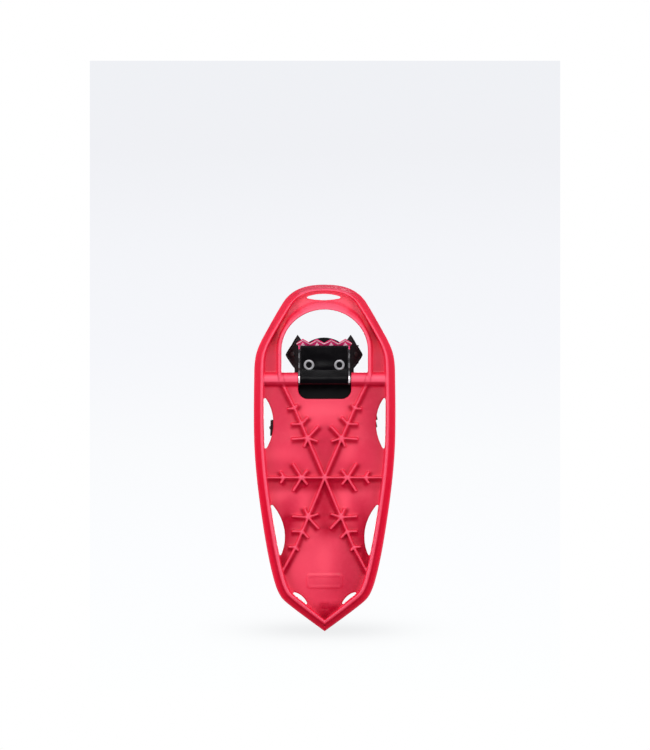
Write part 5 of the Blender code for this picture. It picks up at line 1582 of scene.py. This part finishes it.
def pad():
    cells, rows_n = 20, 40
    verts = []
    m = 2 * (cells + 1)
    for i in range(rows_n + 1):
        s = pad_band.length * i / rows_n
        end = min(1.0, min(s, pad_band.length - s) / 5.0)
        e = math.sqrt(max(0.0, 1 - (1 - end) ** 2))
        for sgn in (1, -1):
            row = []
            for k in range(cells + 1):
                w = -math.cos(math.pi * k / cells) * 16.0 * (0.82 + 0.18 * e)
                edge = min(1.0, (16.0 * (0.82 + 0.18 * e) - abs(w)) / 2.0)
                t = 2.0 * math.sqrt(max(0.0, 1 - (1 - edge) ** 2)) * (0.35 + 0.65 * e)
                if sgn > 0:
                    t += 0.45 * (0.5 + 0.5 * math.cos(2 * math.pi * s / 5.2)) * min(1, edge) * e - 0.45 * e
                row.append(pad_band.at(s, w, sgn * t))
            verts += row if sgn == 1 else row[::-1]
    faces = [[i * m + j, i * m + (j + 1) % m, (i + 1) * m + (j + 1) % m, (i + 1) * m + j] for i in range(rows_n) for j in range(m)]
    faces += [list(range(m))[::-1], [rows_n * m + j for j in range(m)]]
    obj = mesh_object("heel_pad_skin", verts, faces)
    fix_normals(obj)
    return obj


heel_pad = take(pad(), M_PAD, 60)
place(heel_pad, "heel_body", ["heel_pad"], "pad_rubber")
for word in ("left", "right"):
    skin(f"heel_buckle_{word}", M_PLASTIC, "heel_body", 0.6, 3, 40)
    skin(f"heel_bar_{word}", M_GREY, "heel_body", 0.4, 2, 40)
    skin(f"heel_tail_{word}", M_WEB, "heel_body", 0.4, 2, 40)

# ===================================================================== stage


def stage_plane(name, centre, size, mat, rotation=(0, 0, 0)):
    mesh = bpy.data.meshes.new(name)
    a, b = size[0] / 2, size[1] / 2
    mesh.from_pydata([(-a, -b, 0), (a, -b, 0), (a, b, 0), (-a, b, 0)], [], [[0, 1, 2, 3]])
    mesh.uv_layers.new(name="UVMap")
    obj = bpy.data.objects.new(name, mesh)
    obj.location, obj.rotation_euler = centre, rotation
    bpy.context.scene.collection.objects.link(obj)
    mesh.materials.append(mat)
    return obj


def floor_material():
    """Pale studio floor, seen from above only."""
    s = Shader("studio_floor")
    cloud = s.noise(0.8, 2, 0.5)
    s.color(s.mix((cloud, 0), (0.80, 0.81, 0.83), (0.84, 0.85, 0.87)))
    s.set(Roughness=0.75)
    clear = s.add("ShaderNodeBsdfTransparent")
    pick = s.add("ShaderNodeMixShader")
    geo = s.add("ShaderNodeNewGeometry")
    s.link(geo, "Backfacing", pick, "Fac")
    s.tree.links.new(s.bsdf.outputs["BSDF"], pick.inputs[1])
    s.tree.links.new(clear.outputs[0], pick.inputs[2])
    s.tree.links.new(pick.outputs[0], s.out.inputs["Surface"])
    return s.mat


def backdrop_material():
    """Pale card behind the shoe, seen from below only, with the soft shade
    that the standing tail throws on it."""
    s = Shader("studio_backdrop")
    split = s.add("ShaderNodeSeparateXYZ")
    s.link(s.coord, "Object", split, "Vector")
    x, y = (split, 0), (split, 1)
    ramp = s.add("ShaderNodeValToRGB")
    f = s.range(y, CARD[1] / 2, -CARD[1] / 2, 0.0, 1.0)
    s.tree.links.new(f[0].outputs[0], ramp.inputs["Fac"])
    cr = ramp.color_ramp
    cr.elements[0].position, cr.elements[0].color = 0.0, (*linear((239.5, 241, 245)), 1)
    cr.elements[1].position, cr.elements[1].color = 1.0, (*linear((254, 255, 255)), 1)
    for pos, rgb in ((0.14, (240, 241, 245)), (0.30, (244, 245, 249)), (0.46, (246, 247, 251)), (0.62, (250, 251, 253)), (0.78, (252, 253, 255))):
        e = cr.elements.new(pos)
        e.color = (*linear(rgb), 1)

    def bell(cx, cy, rx, ry, amount, power):
        u = s.math("POWER", s.math("ABSOLUTE", s.math("DIVIDE", s.math("SUBTRACT", x, cx), rx)), power)
        v = s.math("POWER", s.math("ABSOLUTE", s.math("DIVIDE", s.math("SUBTRACT", y, cy), ry)), 2.0)
        return s.math("MULTIPLY", s.math("EXPONENT", s.math("MULTIPLY", s.math("ADD", u, v), -1.0)), amount)
    shade = s.math("ADD", bell(0.0, SHADE_Y, 0.098, 0.0115, 0.115, 2.4), bell(0.0, SHADE_Y, 0.120, 0.022, 0.022, 2.0))
    dim = s.mix(shade, (1, 1, 1), (0.0, 0.0, 0.012))
    mult = s.add("ShaderNodeMix", data_type="RGBA", blend_type="MULTIPLY")
    mult.inputs[0].default_value = 1.0
    s.tree.links.new(ramp.outputs["Color"], mult.inputs[6])
    s.tree.links.new(dim.outputs[2], mult.inputs[7])
    emit = s.add("ShaderNodeEmission")
    s.tree.links.new(mult.outputs[2], emit.inputs["Color"])
    clear = s.add("ShaderNodeBsdfTransparent")
    pick = s.add("ShaderNodeMixShader")
    geo = s.add("ShaderNodeNewGeometry")
    s.link(geo, "Backfacing", pick, "Fac")
    s.tree.links.new(emit.outputs[0], pick.inputs[1])
    s.tree.links.new(clear.outputs[0], pick.inputs[2])
    s.tree.links.new(pick.outputs[0], s.out.inputs["Surface"])
    return s.mat


# camera: straight up from below, the toe at the top of the picture
PX = 1.2425 * MM                       # metres per pixel at the shoe
LENS, CARD_Z = 300.0, 0.60
REACH = 750 * PX * LENS / 36.0
CAM_X, CAM_Y = 0.35 * PX, (375.0 - 458.0) * PX
BACK = (REACH + CARD_Z) / REACH        # how much farther off the card is
CARD = (470 * PX * BACK, 629 * PX * BACK)
SHADE_Y = -((630 - 375.5) * PX * BACK)

KEY_W, FRONT_W, SIDE_W, SHEEN_W, LOW_W = 23.0, 21.0, 30.0, 140.0, 17.0
floor = stage_plane("studio_floor", (0, 0, 0), (6, 6), floor_material())
card = stage_plane("studio_backdrop", (CAM_X, CAM_Y + 0.5 * PX * BACK, CARD_Z), CARD, backdrop_material(), (math.pi, 0, 0))
for o in (floor, card):
    o.visible_shadow = o.visible_diffuse = o.visible_glossy = o.visible_transmission = False


def area(name, at, look, size, watts, color=(1, 1, 1), size_y=None):
    data = bpy.data.lights.new(name, "AREA")
    data.energy, data.size, data.color = watts, size, color
    if size_y:
        data.shape, data.size_y = "RECTANGLE", size_y
    obj = bpy.data.objects.new(name, data)
    obj.location = at
    obj.rotation_mode = "QUATERNION"
    obj.rotation_quaternion = (Vector(look) - Vector(at)).to_track_quat("-Z", "Y")
    obj.visible_camera = False
    bpy.context.scene.collection.objects.link(obj)
    return obj


area("softbox_toe", (-0.25, -1.55, -1.95), (0, 0, 0), 2.6, KEY_W, size_y=1.5).visible_glossy = False
area("low_toe", (0.0, -2.4, -0.6), (0, 0, 0), 1.6, LOW_W, size_y=0.8).visible_glossy = False
area("sheen_toe", (-0.25, -1.55, -1.95), (0, 0, 0), 2.6, SHEEN_W, size_y=1.5).visible_diffuse = False
front = area("front_fill", (0.0, 0.1, -3.2), (0, 0, 0), 2.2, FRONT_W)
front.visible_glossy = False
for name, x in (("side_left", -2.1), ("side_right", 2.1)):
    area(name, (x, 0.1, -1.2), (0, 0, 0), 1.2, SIDE_W).visible_glossy = False
area("key_above", (0.35, -0.55, 2.5), (0, 0, 0), 1.2, 44.0)
area("fill_above", (-0.4, 0.5, 2.6), (0, 0, 0), 1.2, 22.0)

world = bpy.data.worlds.new("studio")
bpy.context.scene.world = world
world.use_nodes = True
wt = world.node_tree
wt.nodes.clear()
wo = wt.nodes.new("ShaderNodeOutputWorld")
sky = wt.nodes.new("ShaderNodeBackground")
sky.inputs["Color"].default_value = (0.93, 0.945, 0.965, 1)
sky.inputs["Strength"].default_value = 0.28
seen = wt.nodes.new("ShaderNodeBackground")
seen.inputs["Color"].default_value = (1, 1, 1, 1)
seen.inputs["Strength"].default_value = 1.0
dim = wt.nodes.new("ShaderNodeBackground")
dim.inputs["Color"].default_value = (0.93, 0.945, 0.965, 1)
dim.inputs["Strength"].default_value = 0.07
path = wt.nodes.new("ShaderNodeLightPath")
mirror = wt.nodes.new("ShaderNodeMixShader")
wt.links.new(path.outputs["Is Glossy Ray"], mirror.inputs["Fac"])
wt.links.new(sky.outputs[0], mirror.inputs[1])
wt.links.new(dim.outputs[0], mirror.inputs[2])
mixer = wt.nodes.new("ShaderNodeMixShader")
wt.links.new(path.outputs["Is Camera Ray"], mixer.inputs["Fac"])
wt.links.new(mirror.outputs[0], mixer.inputs[1])
wt.links.new(seen.outputs[0], mixer.inputs[2])
wt.links.new(mixer.outputs[0], wo.inputs["Surface"])

scene = bpy.context.scene
scene.view_settings.view_transform = "Standard"
scene.view_settings.look = "None"
scene.view_settings.exposure = 0.0
scene.view_settings.gamma = 1.0

cam_data = bpy.data.cameras.new("camera")
cam_data.lens, cam_data.sensor_width = LENS, 36.0
cam_data.clip_start, cam_data.clip_end = 0.05, 60.0
cam = bpy.data.objects.new("camera", cam_data)
cam.location = (CAM_X, CAM_Y, 0.006 - REACH)
cam.rotation_euler = (math.pi, 0, 0)
scene.collection.objects.link(cam)
scene.camera = cam
